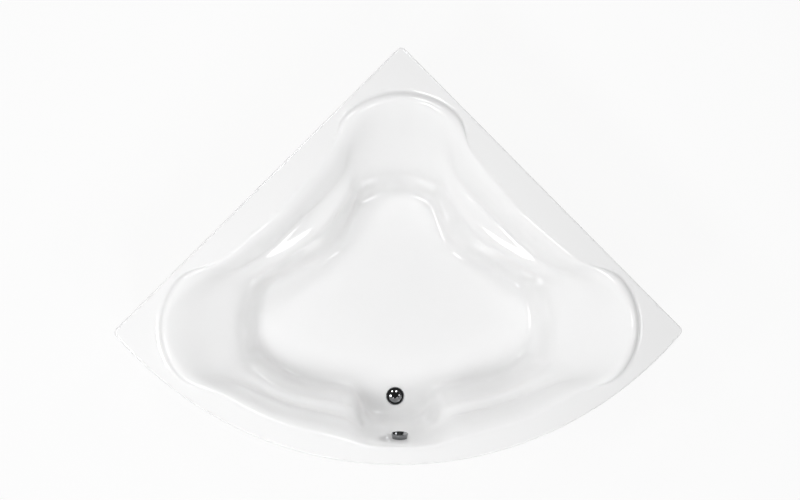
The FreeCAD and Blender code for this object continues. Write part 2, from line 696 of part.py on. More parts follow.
def front_batten():
    outer = APRON_INSET + APRON
    batten = bow_ring(outer, outer + FRONT_BATTEN_WIDTH, BLOCK_UNDER, RIM_UNDER)
    batten = batten.common(box(FRONT_BATTEN_FROM, FRONT_BATTEN_TO, FRONT_Y, SIDE_Y, BLOCK_UNDER, RIM_UNDER))
    return drilled(batten, PLATE_SCREWS + APRON_TOP_SCREWS, UP, APRON + SCREW_BITE)


def corner_blocks():
    blocks = []
    for _, at, along in LEGS[:3]:
        half = along * (BLOCK_LONG / 2.0) + Vec(along.y, along.x, 0) * (BLOCK_SHORT / 2.0)
        block = box(at.x - half.x, at.x + half.x, at.y - half.y, at.y + half.y, BLOCK_UNDER, RIM_UNDER)
        blocks.append(drilled(block, PLATE_SCREWS, UP, PLATE + SCREW_BITE))
    return Part.makeCompound(blocks)


def square_tube(x0, x1, y0, y1, z0, z1, along):
    """Square tube, hollow along one axis."""
    wall = Vec(TUBE_WALL, TUBE_WALL, TUBE_WALL)
    open_end = Vec(*(0 if c else 1 for c in along))
    low = Vec(x0, y0, z0) + Vec(*(w * o for w, o in zip(wall, open_end)))
    high = Vec(x1, y1, z1) - Vec(*(w * o for w, o in zip(wall, open_end)))
    return box(x0, x1, y0, y1, z0, z1).cut(box(low.x, high.x, low.y, high.y, low.z, high.z))


def post(at):
    return square_tube(at.x - HALF_TUBE, at.x + HALF_TUBE, at.y - HALF_TUBE, at.y + HALF_TUBE,
                       POST_BOTTOM, PLATE_Z, (0, 0, 1))


def top_plates():
    plates = []
    for _, at, along in LEGS:
        half = along * HALF_PLATE + Vec(along.y, along.x, 0) * HALF_TUBE
        plate = box(at.x - half.x, at.x + half.x, at.y - half.y, at.y + half.y, PLATE_Z, BLOCK_UNDER)
        plates.append(drilled(plate, PLATE_SCREWS, UP, PLATE))
    return Part.makeCompound(plates)


def bearer(x0, x1, y0, y1, along):
    tube = square_tube(x0, x1, y0, y1, BEARER_UNDER, BOARD_UNDER, along)
    return drilled(tube, BOARD_SCREWS, UP, TUBE)


def main_bearer():
    end = SIDE_POST.x - HALF_TUBE
    return bearer(-end, end, SIDE_Y - HALF_TUBE, SIDE_Y + HALF_TUBE, (1, 0, 0))


def spine_bearer():
    return bearer(-HALF_TUBE, HALF_TUBE, SIDE_Y + HALF_TUBE, BACK_POST.y - HALF_TUBE, (0, 1, 0))


def front_bearer():
    return bearer(FRONT_POST_X - HALF_TUBE, FRONT_POST_X + HALF_TUBE,
                  FRONT_POST.y + HALF_TUBE, SIDE_Y - HALF_TUBE, (0, 1, 0))


def foot_inserts():
    """Threaded plugs in the lower ends of the posts."""
    half = HALF_TUBE - TUBE_WALL - INSERT_GAP
    low = POST_BOTTOM - INSERT_FLANGE
    inserts = []
    for _, at, _ in LEGS:
        top = POST_BOTTOM + INSERT_PLUG
        plug = box(at.x - half, at.x + half, at.y - half, at.y + half, POST_BOTTOM, top)
        flange = box(at.x - HALF_TUBE, at.x + HALF_TUBE, at.y - HALF_TUBE, at.y + HALF_TUBE, low, POST_BOTTOM)
        inserts.append(plug.fuse(flange).cut(rod(STUD_R + RUN_GAP, at + UP * low, at + UP * top)))
    return Part.makeCompound(inserts)


def lock_nuts():
    top = POST_BOTTOM - INSERT_FLANGE
    corner = NUT_ACROSS / math.sqrt(3.0)
    turns = [k * math.pi / 3.0 for k in range(6)]
    nuts = []
    for _, at, _ in LEGS:
        hexagon = [at + Vec(math.cos(turn), math.sin(turn), 0) * corner for turn in turns]
        nut = prism(hexagon, top - NUT_HEIGHT, top)
        nuts.append(nut.cut(rod(STUD_R + RUN_GAP, at, at + UP * top)))
    return Part.makeCompound(nuts)


def foot_stud(at):
    return rod(STUD_R, at + UP * STUD_SEAT, at + UP * (STUD_SEAT + STUD_LENGTH))


def foot_pad(at):
    """Round pad with a raised hub that takes the end of the stud."""
    profile = [(0, 0), (PAD_R - PAD_EDGE, 0), (PAD_R, PAD_EDGE), (PAD_R, PAD_HEIGHT - PAD_EDGE),
               (PAD_R - PAD_EDGE, PAD_HEIGHT), (PAD_HUB_R, PAD_HEIGHT), (PAD_HUB_R, PAD_HEIGHT + PAD_HUB),
               (0, PAD_HEIGHT + PAD_HUB)]
    hole = rod(STUD_R + RUN_GAP, at + UP * STUD_SEAT, at + UP * (PAD_HEIGHT + PAD_HUB))
    return spun(profile, at, UP).cut(hole)


# Apron bracket: a strip along the side of a front post, with a foot against the back of the apron
BRACKET_X = FRONT_POST_X + HALF_TUBE
BRACKET_ARC_R = FRONT_R - APRON_INSET - APRON
BRACKET_ANGLE = math.asin((BRACKET_X + BRACKET_FOOT / 2.0) / BRACKET_ARC_R)
BRACKET_OUT = Vec(math.sin(BRACKET_ANGLE), -math.cos(BRACKET_ANGLE), 0)
BRACKET_ALONG = Vec(math.cos(BRACKET_ANGLE), math.sin(BRACKET_ANGLE), 0)
BRACKET_SAG = BRACKET_ARC_R - math.sqrt(BRACKET_ARC_R ** 2 - BRACKET_FOOT ** 2 / 4.0)
BRACKET_SEAT = Vec(0, ARC_Y, 0) + BRACKET_OUT * (BRACKET_ARC_R - BRACKET_SAG)
BRACKET_SCREW = BRACKET_SEAT + BRACKET_OUT * (BRACKET_SAG + APRON) + UP * (BRACKET_Z + BRACKET_HEIGHT / 2.0)


def apron_bracket():
    half = BRACKET_ALONG * (BRACKET_FOOT / 2.0)
    back = BRACKET_OUT * -BRACKET
    foot = [BRACKET_SEAT - half, BRACKET_SEAT + half, BRACKET_SEAT + half + back, BRACKET_SEAT - half + back]
    near = foot[0].y + BRACKET
    far = FRONT_POST.y - HALF_TUBE + BRACKET_GRIP
    strip = [Vec(BRACKET_X, near, 0), Vec(BRACKET_X + BRACKET, near, 0),
             Vec(BRACKET_X + BRACKET, far, 0), Vec(BRACKET_X, far, 0)]
    top = BRACKET_Z + BRACKET_HEIGHT
    bracket = prism(foot, BRACKET_Z, top).fuse(prism(strip, BRACKET_Z, top)).removeSplitter()
    return drilled(bracket, [BRACKET_SCREW], BRACKET_OUT * -1.0, APRON + BRACKET + SCREW_BITE)


def front_apron():
    """Curved panel behind the turned-down edge, with a flange along its top for the battens."""
    back = APRON_INSET + APRON
    panel = bow_ring(APRON_INSET, back, APRON_CLEAR, BLOCK_UNDER)
    panel = panel.fuse(bow_ring(back, back + APRON_FLANGE, BLOCK_UNDER - APRON, BLOCK_UNDER))
    plan = Part.Face(outline(APRON_WALL_GAP, APRON_CLEAR)).extrude(UP * (BLOCK_UNDER - APRON_CLEAR))
    panel = panel.common(plan).removeSplitter()
    panel = drilled(panel, APRON_TOP_SCREWS, UP, APRON)
    through = BRACKET_OUT * (2.0 * APRON)
    hole = rod(SCREW_R + PILOT_GAP, BRACKET_SCREW + through, BRACKET_SCREW - through)
    return panel.cut(hole).cut(mirrored(hole))


def drain_flange():
    profile = [
        (MOUTH_R, FLANGE_TOP - MOUTH_DEPTH), (MOUTH_R, FLANGE_TOP - FLANGE_CROWN),
        (MOUTH_R + FLANGE_CROWN, FLANGE_TOP),
        (FLANGE_R - 2.0 * FLANGE_CROWN, FLANGE_TOP), (FLANGE_R, FLANGE_TOP - FLANGE_CROWN),
        (FLANGE_R, RECESS_Z + FLANGE_GASKET), (THROAT_R, RECESS_Z + FLANGE_GASKET),
        (THROAT_R, RECESS_Z - THROAT_LENGTH), (THROAT_R - THROAT_WALL, RECESS_Z - THROAT_LENGTH),
        (THROAT_R - THROAT_WALL, FLANGE_TOP - MOUTH_DEPTH - THROAT_WALL),
    ]
    return spun(profile, Vec(0, DRAIN_Y, 0), UP)


def drain_body():
    """Moulded body under the floor: collar, chamber, outlet, hose spigot, cable boss and stem guide."""
    axis = Vec(0, DRAIN_Y, 0)
    front = Vec(0, -1, 0)
    port = axis + UP * PORT_Z
    cable = port + Vec(CABLE_SIDE, 0, 0)
    spigot_r = HOSE_R - HOSE_WALL - HOSE_GAP
    inner = BODY_R - BODY_WALL
    solid = drain_rod(BODY_FLANGE_R, BODY_TOP - BODY_FLANGE, BODY_TOP)
    solid = solid.fuse([
        drain_rod(BODY_R, CHAMBER_LOW, BODY_TOP),
        drain_rod(OUTLET_R, OUTLET_LOW, CHAMBER_LOW),
        rod(spigot_r, port, port + front * (BODY_R + SPIGOT)),
        rod(CABLE_BOSS_R, cable, cable + front * (CABLE_BOSS + CABLE_R)),
    ])
    solid = solid.cut(drain_rod(THROAT_R + THREAD_GAP, CHAMBER_TOP, BODY_TOP))
    solid = solid.cut(drain_rod(inner, CHAMBER_LOW + BODY_WALL, CHAMBER_TOP))
    solid = solid.cut(drain_rod(OUTLET_R - PIPE_WALL, OUTLET_LOW, CHAMBER_LOW + BODY_WALL))
    solid = solid.cut(rod(spigot_r - SPIGOT_WALL, port, port + front * (BODY_R + SPIGOT)))
    shaft = Vec(BODY_R, DRAIN_Y + ROCKER_ARM, ROCKER_Z)
    solid = solid.cut(rod(ROCKER_SHAFT_R + RUN_GAP, shaft, shaft - Vec(2.0 * BODY_R, 0, 0)))
    guide_low = CHAMBER_TOP - GUIDE_HEIGHT
    reach = (inner + BODY_R) / 2.0
    half_arm = GUIDE_ARM / 2.0
    guide = drain_rod(GUIDE_R, guide_low, CHAMBER_TOP)
    guide = guide.fuse(box(-reach, reach, DRAIN_Y - half_arm, DRAIN_Y + half_arm, guide_low, CHAMBER_TOP))
    return solid.fuse(guide.cut(drain_rod(STEM_R + RUN_GAP, guide_low, CHAMBER_TOP))).removeSplitter()


def plug_cap():
    """Chromed dome on a boss that carries the seal and the stem."""
    rim_z = PLUG_Z + PLUG_RIM
    crown = Vec(0, DRAIN_Y, rim_z + PLUG_DOME)
    edge = Vec(PLUG_R, DRAIN_Y, rim_z)
    ball_r = (PLUG_R ** 2 + PLUG_DOME ** 2) / (2.0 * PLUG_DOME)
    half_way = math.asin(PLUG_R / ball_r) / 2.0
    between = Vec(ball_r * math.sin(half_way), DRAIN_Y, crown.z - ball_r * (1.0 - math.cos(half_way)))
    corners = [crown, Vec(0, DRAIN_Y, PLUG_Z - PLUG_BOSS), Vec(PLUG_BOSS_R, DRAIN_Y, PLUG_Z - PLUG_BOSS),
               Vec(PLUG_BOSS_R, DRAIN_Y, PLUG_Z), Vec(PLUG_R, DRAIN_Y, PLUG_Z), edge]
    edges = [Part.makeLine(a, b) for a, b in zip(corners, corners[1:])]
    edges.append(Part.Arc(edge, between, crown).toShape())
    cap = Part.Face(Part.Wire(edges)).revolve(Vec(0, DRAIN_Y, 0), UP, 360)
    return cap.cut(drain_rod(STEM_R + RUN_GAP, PLUG_Z - PLUG_BOSS, PLUG_Z))


def lift_rocker():
    """Lever in the drain body that lifts the plug stem: cross shaft, hub, arm and round tip."""
    pivot = Vec(0, DRAIN_Y + ROCKER_ARM, ROCKER_Z)
    tip = pivot + Vec(0, -math.cos(ROCKER_TILT), -math.sin(ROCKER_TILT)) * ROCKER_ARM
    wide = Vec(ROCKER_WIDTH / 2.0, 0, 0)
    half_shaft = Vec(math.sqrt(BODY_R ** 2 - ROCKER_ARM ** 2) - MOVE_GAP, 0, 0)
    rocker = rod(ROCKER_HUB_R, pivot - wide, pivot + wide)
    arm_up = Vec(0, -math.sin(ROCKER_TILT), math.cos(ROCKER_TILT)) * (ROCKER_TIP_R - MOVE_GAP)
    arm = Part.Face(Part.makePolygon([pivot - wide + arm_up, tip - wide + arm_up, tip - wide - arm_up,
                                      pivot - wide - arm_up, pivot - wide + arm_up])).extrude(wide * 2.0)
    rocker = rocker.fuse([arm, rod(ROCKER_TIP_R, tip - wide, tip + wide)])
    return rocker.fuse(rod(ROCKER_SHAFT_R, pivot - half_shaft, pivot + half_shaft)).removeSplitter()


# Overflow, measured along its axis from the front wall: outwards is negative
GASKET_BACK = -ACRYLIC - OVERFLOW_GASKET
FLANGE_BACK = GASKET_BACK - OVERFLOW_FLANGE
CHAMBER_BACK = FLANGE_BACK - OVERFLOW_LENGTH
KNOB_BACK = ROSETTE_RISE + MOVE_GAP
OUTFALL = OVERFLOW_AT + OVERFLOW_IN * ((FLANGE_BACK + CHAMBER_BACK) / 2.0)


def overflow_gasket(shell):
    ring = overflow_rod(OVERFLOW_FLANGE_R, GASKET_BACK, 0)
    ring = ring.cut(overflow_rod(OVERFLOW_HOLE_R, GASKET_BACK, 0)).cut(shell)
    return max(ring.Solids, key=lambda solid: solid.Volume)


def overflow_body():
    """Chamber behind the front wall, with a bearing for the spindle, a hose spigot and a cable boss."""
    spigot_r = HOSE_R - HOSE_WALL - HOSE_GAP
    inner = OVERFLOW_R - OVERFLOW_WALL
    spigot_end = OUTFALL - UP * (OVERFLOW_FLANGE_R + SPIGOT)
    cable = OUTFALL + Vec(CABLE_SIDE, 0, 0)
    solid = overflow_rod(OVERFLOW_FLANGE_R, FLANGE_BACK, GASKET_BACK)
    solid = solid.fuse([
        overflow_rod(OVERFLOW_R, CHAMBER_BACK, FLANGE_BACK),
        rod(spigot_r, OUTFALL, spigot_end),
        rod(CABLE_BOSS_R, cable, cable - UP * CABLE_BOSS),
    ])
    solid = solid.cut(overflow_rod(inner, CHAMBER_BACK + OVERFLOW_WALL, GASKET_BACK))
    solid = solid.cut(rod(spigot_r - SPIGOT_WALL, OUTFALL, spigot_end))
    solid = solid.fuse(overflow_rod(OVERFLOW_HUB_R, CHAMBER_BACK, CHAMBER_BACK + 2.0 * OVERFLOW_WALL))
    return solid.cut(overflow_rod(SPINDLE_R + RUN_GAP, CHAMBER_BACK, GASKET_BACK)).removeSplitter()


def overflow_rosette(shell):
    """Chromed ring against the basin wall, with arms to a hub that guides the spindle."""
    inner = OVERFLOW_HOLE_R - OVERFLOW_WALL
    ring = overflow_rod(ROSETTE_R, -ACRYLIC / 2.0, ROSETTE_RISE)
    ring = ring.cut(overflow_rod(inner, -ACRYLIC / 2.0, ROSETTE_RISE)).cut(shell)
    ring = max(ring.Solids, key=lambda solid: solid.Volume)
    hub = overflow_rod(ROSETTE_HUB_R, 0, ROSETTE_RISE)
    across = Vec(1, 0, 0)
    side = across.cross(OVERFLOW_IN)
    for k in range(ROSETTE_ARMS):
        turn = 2.0 * math.pi * k / ROSETTE_ARMS + math.pi / 2.0
        out = across * math.cos(turn) + side * math.sin(turn)
        flat = out.cross(OVERFLOW_IN) * (ROSETTE_ARM / 2.0)
        end = OVERFLOW_AT + out * (OVERFLOW_HOLE_R - OVERFLOW_WALL / 2.0)
        corners = [OVERFLOW_AT + flat, end + flat, end - flat, OVERFLOW_AT - flat, OVERFLOW_AT + flat]
        hub = hub.fuse(Part.Face(Part.makePolygon(corners)).extrude(OVERFLOW_IN * ROSETTE_RISE))
    hub = hub.cut(overflow_rod(SPINDLE_R + RUN_GAP, 0, ROSETTE_RISE))
    return ring.fuse(hub).removeSplitter()


def overflow_knob():
    """Turned knob, wider at its face, hollow for the spindle's head."""
    end = KNOB_BACK + KNOB_THICK
    profile = [(0, KNOB_BACK), (KNOB_BACK_R, KNOB_BACK), (KNOB_FACE_R, end - KNOB_EDGE),
               (KNOB_FACE_R - KNOB_EDGE, end), (0, end)]
    knob = spun(profile, OVERFLOW_AT, OVERFLOW_IN)
    return knob.cut(overflow_rod(SPINDLE_R + RUN_GAP, KNOB_BACK, KNOB_BACK + SPINDLE_HEAD))


def knob_spindle():
    return overflow_rod(SPINDLE_R, CHAMBER_BACK, KNOB_BACK + SPINDLE_HEAD)


def bend_path(start, low_z, end_y, radius):
    """Wire straight down, round a quarter bend and level towards the drain."""
    down = Vec(start.x, start.y, low_z + radius)
    level = Vec(start.x, start.y + radius, low_z)
    turn = radius / ROOT2
    between = Vec(start.x, start.y + radius - turn, low_z + radius - turn)
    return Part.Wire([
        Part.LineSegment(start, down).toShape(),
        Part.Arc(down, between, level).toShape(),
        Part.LineSegment(level, Vec(start.x, end_y, low_z)).toShape(),
    ])


def swept(path, start, radius):
    circle = Part.Wire(Part.makeCircle(radius, start, UP))
    return path.makePipeShell([circle], True, False)


HOSE_TOP = OUTFALL - UP * (OVERFLOW_FLANGE_R + SHEET_GAP)
HOSE_END = DRAIN_Y - BODY_R - SHEET_GAP


def overflow_hose():
    path = bend_path(HOSE_TOP, PORT_Z, HOSE_END, HOSE_BEND)
    return swept(path, HOSE_TOP, HOSE_R).cut(swept(path, HOSE_TOP, HOSE_R - HOSE_WALL))


def hose_nuts():
    """Clamp rings over the two ends of the hose."""
    inner = HOSE_R + HOSE_GAP
    outer = inner + HOSE_NUT_WALL
    end = Vec(0, HOSE_END, PORT_Z)
    nuts = []
    for start, finish in ((HOSE_TOP, HOSE_TOP - UP * HOSE_NUT), (end, end - Vec(0, HOSE_NUT, 0))):
        nuts.append(rod(outer, start, finish).cut(rod(inner, start, finish)))
    return Part.makeCompound(nuts)


def control_cable():
    start = OUTFALL + Vec(CABLE_SIDE, 0, -CABLE_BOSS)
    path = bend_path(start, PORT_Z, DRAIN_Y - CABLE_BOSS - CABLE_R, CABLE_BEND)
    return swept(path, start, CABLE_R)


def trap_body():
    """Drum trap: neck and dip tube in one, drum, and a level outlet towards the right wall, with a collar."""
    dip_low = TRAP_LOW + TRAP_DIP
    outlet = Vec(0, DRAIN_Y, TRAP_OUTLET_Z)
    collar = outlet + WALL_OUT * (TRAP_R + TRAP_COLLAR)
    end = collar + WALL_OUT * TRAP_OUTLET
    solid = drain_rod(TRAP_R, TRAP_LOW, TRAP_TOP)
    solid = solid.fuse([rod(OUTLET_R, outlet, end), rod(OUTLET_R + TRAP_WALL, outlet, collar)])
    solid = solid.cut(drain_rod(TRAP_R - TRAP_WALL, TRAP_LOW, TRAP_TOP - TRAP_WALL))
    solid = solid.cut(rod(OUTLET_R - PIPE_WALL, outlet, end))
    solid = solid.fuse(drain_rod(OUTLET_R, dip_low, OUTLET_LOW))
    return solid.cut(drain_rod(OUTLET_R - PIPE_WALL, dip_low, OUTLET_LOW)).removeSplitter()


def trap_cap():
    plug = drain_rod(TRAP_R - TRAP_WALL - THREAD_GAP, TRAP_LOW, TRAP_LOW + TRAP_DIP / 2.0)
    return drain_rod(TRAP_R, TRAP_CLEAR, TRAP_LOW).fuse(plug).removeSplitter()


def trap_coupling():
    return drain_ring(COUPLING_R, OUTLET_R + HOSE_GAP, OUTLET_LOW - COUPLING_GRIP, OUTLET_LOW + COUPLING_GRIP)


os.makedirs("parts", exist_ok=True)

acrylic = acrylic_shell()
save(acrylic, "acrylic_shell")
save(laminate_backing(), "laminate_backing")
save(base_board(), "base_board")
save(corner_blocks(), "corner_blocks")
for side, turn in (("right", lambda shape: shape), ("left", mirrored)):
    save(turn(wall_batten()), "wall_batten_" + side)
    save(turn(front_batten()), "front_batten_" + side)
    save(turn(wall_hangers()), "wall_hangers_" + side)
    save(turn(front_bearer()), "front_bearer_" + side)
save(main_bearer(), "main_bearer")
save(spine_bearer(), "spine_bearer")
save(top_plates(), "post_top_plates")
save(foot_inserts(), "foot_inserts")
save(lock_nuts(), "foot_lock_nuts")
for name, at, _ in LEGS:
    save(post(at), "post_" + name)
    save(foot_stud(at), "foot_stud_" + name)
    save(foot_pad(at), "foot_pad_" + name)
save(front_apron(), "front_apron")
save(both_sides(apron_bracket()), "apron_brackets")

save(drain_flange(), "drain_flange")
save(drain_ring(FLANGE_R - FLANGE_CROWN, DRAIN_HOLE_R, RECESS_Z, RECESS_Z + FLANGE_GASKET), "flange_gasket")
save(drain_ring(BODY_FLANGE_R, DRAIN_HOLE_R, BODY_TOP, RECESS_UNDER), "drain_gasket")
save(drain_body(), "drain_body")
save(plug_cap(), "plug_cap")
save(drain_ring(MOUTH_R - SEAL_GAP, PLUG_BOSS_R, PLUG_Z - PLUG_BOSS, PLUG_Z), "plug_seal")
save(drain_rod(STEM_R, STEM_LOW, PLUG_Z), "plug_stem")
save(lift_rocker(), "lift_rocker")
save(overflow_gasket(acrylic), "overflow_gasket")
save(overflow_body(), "overflow_body")
save(overflow_rosette(acrylic), "overflow_rosette")
save(overflow_knob(), "overflow_knob")
save(knob_spindle(), "knob_spindle")
save(overflow_hose(), "overflow_hose")
save(hose_nuts(), "hose_nuts")
save(control_cable(), "control_cable")
save(trap_body(), "trap_body")
save(trap_cap(), "trap_cap")
save(trap_coupling(), "trap_coupling")

save(Part.makeCompound([screw(at, UP, TUBE + SCREW_BITE) for at in BOARD_SCREWS]), "board_screws")
save(Part.makeCompound([screw(at, UP, PLATE + SCREW_BITE) for at in PLATE_SCREWS]), "plate_screws")
save(Part.makeCompound([screw(at, UP, APRON + SCREW_BITE) for at in APRON_TOP_SCREWS]), "apron_top_screws")
save(both_sides(screw(BRACKET_SCREW, BRACKET_OUT * -1.0, APRON + BRACKET + SCREW_BITE)), "apron_foot_screws")
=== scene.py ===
import math

import bmesh
import bpy
import numpy as np
from mathutils import Matrix, Vector


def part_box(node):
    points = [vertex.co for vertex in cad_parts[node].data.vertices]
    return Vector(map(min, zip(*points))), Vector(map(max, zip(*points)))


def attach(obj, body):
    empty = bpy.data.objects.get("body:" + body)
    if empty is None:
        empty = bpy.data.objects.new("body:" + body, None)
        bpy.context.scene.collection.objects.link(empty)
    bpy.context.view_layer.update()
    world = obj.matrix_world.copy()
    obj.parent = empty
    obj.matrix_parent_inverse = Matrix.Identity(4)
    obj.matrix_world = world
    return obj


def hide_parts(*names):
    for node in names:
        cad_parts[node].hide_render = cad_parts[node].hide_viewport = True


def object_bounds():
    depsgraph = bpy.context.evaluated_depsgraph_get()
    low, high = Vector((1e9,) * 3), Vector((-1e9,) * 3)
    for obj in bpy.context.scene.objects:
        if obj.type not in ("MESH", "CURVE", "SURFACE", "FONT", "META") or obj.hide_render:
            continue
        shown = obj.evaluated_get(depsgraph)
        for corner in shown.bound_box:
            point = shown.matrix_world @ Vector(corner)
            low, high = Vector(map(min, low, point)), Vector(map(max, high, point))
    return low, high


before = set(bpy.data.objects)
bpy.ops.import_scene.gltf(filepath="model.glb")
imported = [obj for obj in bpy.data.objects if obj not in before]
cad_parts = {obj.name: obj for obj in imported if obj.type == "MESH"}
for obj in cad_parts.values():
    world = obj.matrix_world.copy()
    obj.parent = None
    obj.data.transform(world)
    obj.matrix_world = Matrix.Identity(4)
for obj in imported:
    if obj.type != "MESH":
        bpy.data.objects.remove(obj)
cad_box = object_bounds()

# Acrylic shell: one sheet of white acrylic, heated and drawn by vacuum over a mould, so that rim, headrest
# lips, armrest ledges, drain bay and floor are a single smooth skin. Its outer edge is rounded and turned
# down all round; the drain and the overflow are cut out of it afterwards.
wall_side = 1.5
bow = 0.496
half_span = wall_side / math.sqrt(2)
bow_r = (half_span ** 2 + bow ** 2) / (2 * bow)
corner_r = 0.02
back_y = (half_span + bow + corner_r * (math.sqrt(2) - 1)) / 2
front_y = back_y - half_span - bow
arc_y = front_y + bow_r
rim_z = 0.64
floor_z = 0.21
depth = rim_z - floor_z
acrylic_thick = 0.005
drain_inset = 0.214
drain_y = front_y + drain_inset
focus_inset = 0.56
basin_focus = np.array([0, front_y + focus_inset])

# Headrest lobes are parts of ellipses, given by their half sizes. The upper end of a side lobe keeps one rim
# to the wall, and its lower end another to the bow front.
side_lobe_half = np.array([0.21, 0.241])
side_lobe_wall_rim = 0.087
side_lobe_front_rim = 0.079
back_lobe_half = np.array([0.256, 0.206])
back_lobe_inset = 0.38
lobe_wall = back_y - side_lobe_wall_rim * math.sqrt(2)
lobe_drop = 2 * side_lobe_half[1] + arc_y - lobe_wall
lobe_x = (math.sqrt(2 * (bow_r - side_lobe_front_rim) ** 2 - lobe_drop ** 2) - lobe_drop) / 2
side_lobe_mid = np.array([lobe_x, lobe_wall - lobe_x - side_lobe_half[1]])
back_lobe_mid = np.array([0, back_y - back_lobe_inset])


def side_lobe(degrees):
    turn = math.radians(degrees)
    return side_lobe_mid + side_lobe_half * (math.cos(turn), math.sin(turn))


def back_lobe(degrees):
    turn = math.radians(degrees)
    return back_lobe_mid + back_lobe_half * (math.cos(turn), math.sin(turn))


flank_bulge = 0.034
flank_chord = back_lobe(0) - side_lobe(90)
flank_inwards = np.array([-flank_chord[1], flank_chord[0]]) / np.linalg.norm(flank_chord)


def flank(share):
    """Point on the basin edge between side lobe and back lobe, which swells into the basin."""
    return side_lobe(90) + flank_chord * share + flank_inwards * flank_bulge * math.sin(math.pi * share)


bay_half = 0.255
bay_rim = 0.066
front_arm_rim = 0.084


def front_point(x, inset):
    """Point on the bow front moved inwards."""
    return np.array([x, arc_y - math.sqrt((bow_r - inset) ** 2 - x ** 2)])


def front_arm(share):
    """Point on the basin edge between drain bay and side lobe."""
    return front_point(bay_half + (side_lobe(-90)[0] - bay_half) * share, front_arm_rim)


# Stations round the right half: point on the basin edge, plan run of the wall, plan width of the wall above
# the armrest, shares of drain bay, armrest and headrest in the section, share of the lip.
bay_run, front_run, side_run, flank_run, back_run, arm_wall = 0.072, 0.168, 0.335, 0.245, 0.345, 0.072
stations = [
    (front_point(0, bay_rim), bay_run, arm_wall, (1, 0, 0), 0),
    (front_point(0.105, bay_rim), 1.1 * bay_run, arm_wall, (0.9, 0.1, 0), 0),
    (front_point(0.18, (bay_rim + front_arm_rim) / 2), 0.72 * front_run, 0.8 * arm_wall, (0.4, 0.6, 0), 0),
    (front_arm(0), 0.95 * front_run, 0.9 * arm_wall, (0.03, 0.97, 0), 0),
    (front_arm(0.33), front_run, 0.95 * arm_wall, (0, 1, 0), 0),
    (front_arm(0.67), front_run, 0.95 * arm_wall, (0, 1, 0), 0),
    (side_lobe(-90), 0.62 * side_run, 1.05 * arm_wall, (0, 0.7, 0.3), 0.25),
    (side_lobe(-54), 0.84 * side_run, 1.6 * arm_wall, (0, 0.2, 0.8), 0.85),
    (side_lobe(-18), 0.98 * side_run, 2.0 * arm_wall, (0, 0, 1), 1),
    (side_lobe(18), side_run, 2.2 * arm_wall, (0, 0.05, 0.95), 1),
    (side_lobe(54), 0.89 * side_run, 2.1 * arm_wall, (0, 0.45, 0.55), 1),
    (side_lobe(90), 0.96 * flank_run, 1.25 * arm_wall, (0, 0.85, 0.15), 0.3),
    (flank(0.25), 0.94 * flank_run, 1.15 * arm_wall, (0, 1, 0), 0),
    (flank(0.5), flank_run, arm_wall, (0, 1, 0), 0),
    (flank(0.75), 1.02 * flank_run, 1.2 * arm_wall, (0, 1, 0), 0),
    (back_lobe(0), 0.7 * back_run, 1.6 * arm_wall, (0, 0.85, 0.15), 0.3),
    (back_lobe(30), 0.85 * back_run, 2.3 * arm_wall, (0, 0.5, 0.5), 1),
    (back_lobe(60), 0.96 * back_run, 2.7 * arm_wall, (0, 0.1, 0.9), 1),
    (back_lobe(90), back_run, 2.8 * arm_wall, (0, 0, 1), 1),
]

# Sections from the rim down to the floor, row by row: distance inwards from the basin edge, shares of the
# armrest wall and of the whole run added to it, share of the depth. The lip rises on the same rows.
rim_rows = [(-0.026, 0, 0, 0), (-0.0169, 0, 0, 0), (-0.0078, 0, 0, 0)]
floor_rows = [(0.0225, 0, 1, 1), (0.045, 0, 1, 1)]
headrest_rows = rim_rows + [
    (0.002, 0, 0, 0), (0.008, 0, 0, 0.004), (0.016, 0, 0, 0.014), (0.031, 0, 0, 0.04), (0.049, 0, 0, 0.092),
    (0, 0, 0.29, 0.18), (0, 0, 0.43, 0.27), (0, 0, 0.56, 0.355), (0, 0, 0.69, 0.44), (0, 0, 0.81, 0.53),
    (0, 0, 0.875, 0.68), (0, 0, 0.93, 0.86), (0, 0, 1, 0.99)] + floor_rows
armrest_rows = rim_rows + [
    (0, 0, 0, 0.002), (0.008, 0, 0, 0.012), (0.016, 0.16, 0, 0.056), (0.016, 0.44, 0, 0.15),
    (0.004, 0.86, 0, 0.3), (0, 0.985, 0, 0.35), (0, 0.93, 0.07, 0.361), (0, 0.68, 0.32, 0.385),
    (0, 0.53, 0.47, 0.42), (0, 0.46, 0.54, 0.5), (0, 0.31, 0.69, 0.73), (0, 0.16, 0.84, 0.915),
    (0, 0, 1, 0.995)] + floor_rows
bay_rows = rim_rows + [
    (0, 0, 0, 0.002), (0, 0, 0.06, 0.02), (0, 0, 0.13, 0.07), (0, 0, 0.19, 0.15), (0, 0, 0.25, 0.24),
    (0, 0, 0.32, 0.34), (0, 0, 0.39, 0.44), (0, 0, 0.46, 0.54), (0, 0, 0.54, 0.64), (0, 0, 0.62, 0.73),
    (0, 0, 0.71, 0.83), (0, 0, 0.83, 0.93), (0, 0, 1, 0.997)] + floor_rows
section_rows = np.array([bay_rows, armrest_rows, headrest_rows])
row_count = section_rows.shape[1]
lip_height = 0.017
lip_rise = np.zeros(row_count)
lip_rise[3:11] = 0.15, 0.95, 1.75, 2.35, 2.6, 1.6, 0.5, 0.1


def wall_section(edge, run, upper_wall, shares, lip):
    """Points of the basin's section at one station, from the rim to the floor."""
    inward, arm, whole, deep = np.tensordot(shares, section_rows, 1).T
    lean = (basin_focus - edge) / np.linalg.norm(basin_focus - edge)
    plan = edge + np.outer(inward + arm * upper_wall + whole * run, lean)
    return np.column_stack([plan, rim_z - deep * depth + lip_rise * lip * lip_height])


right_half = np.array([wall_section(*station) for station in stations])
basin_net = np.concatenate([right_half, right_half[-2:0:-1] * (-1, 1, 1)])


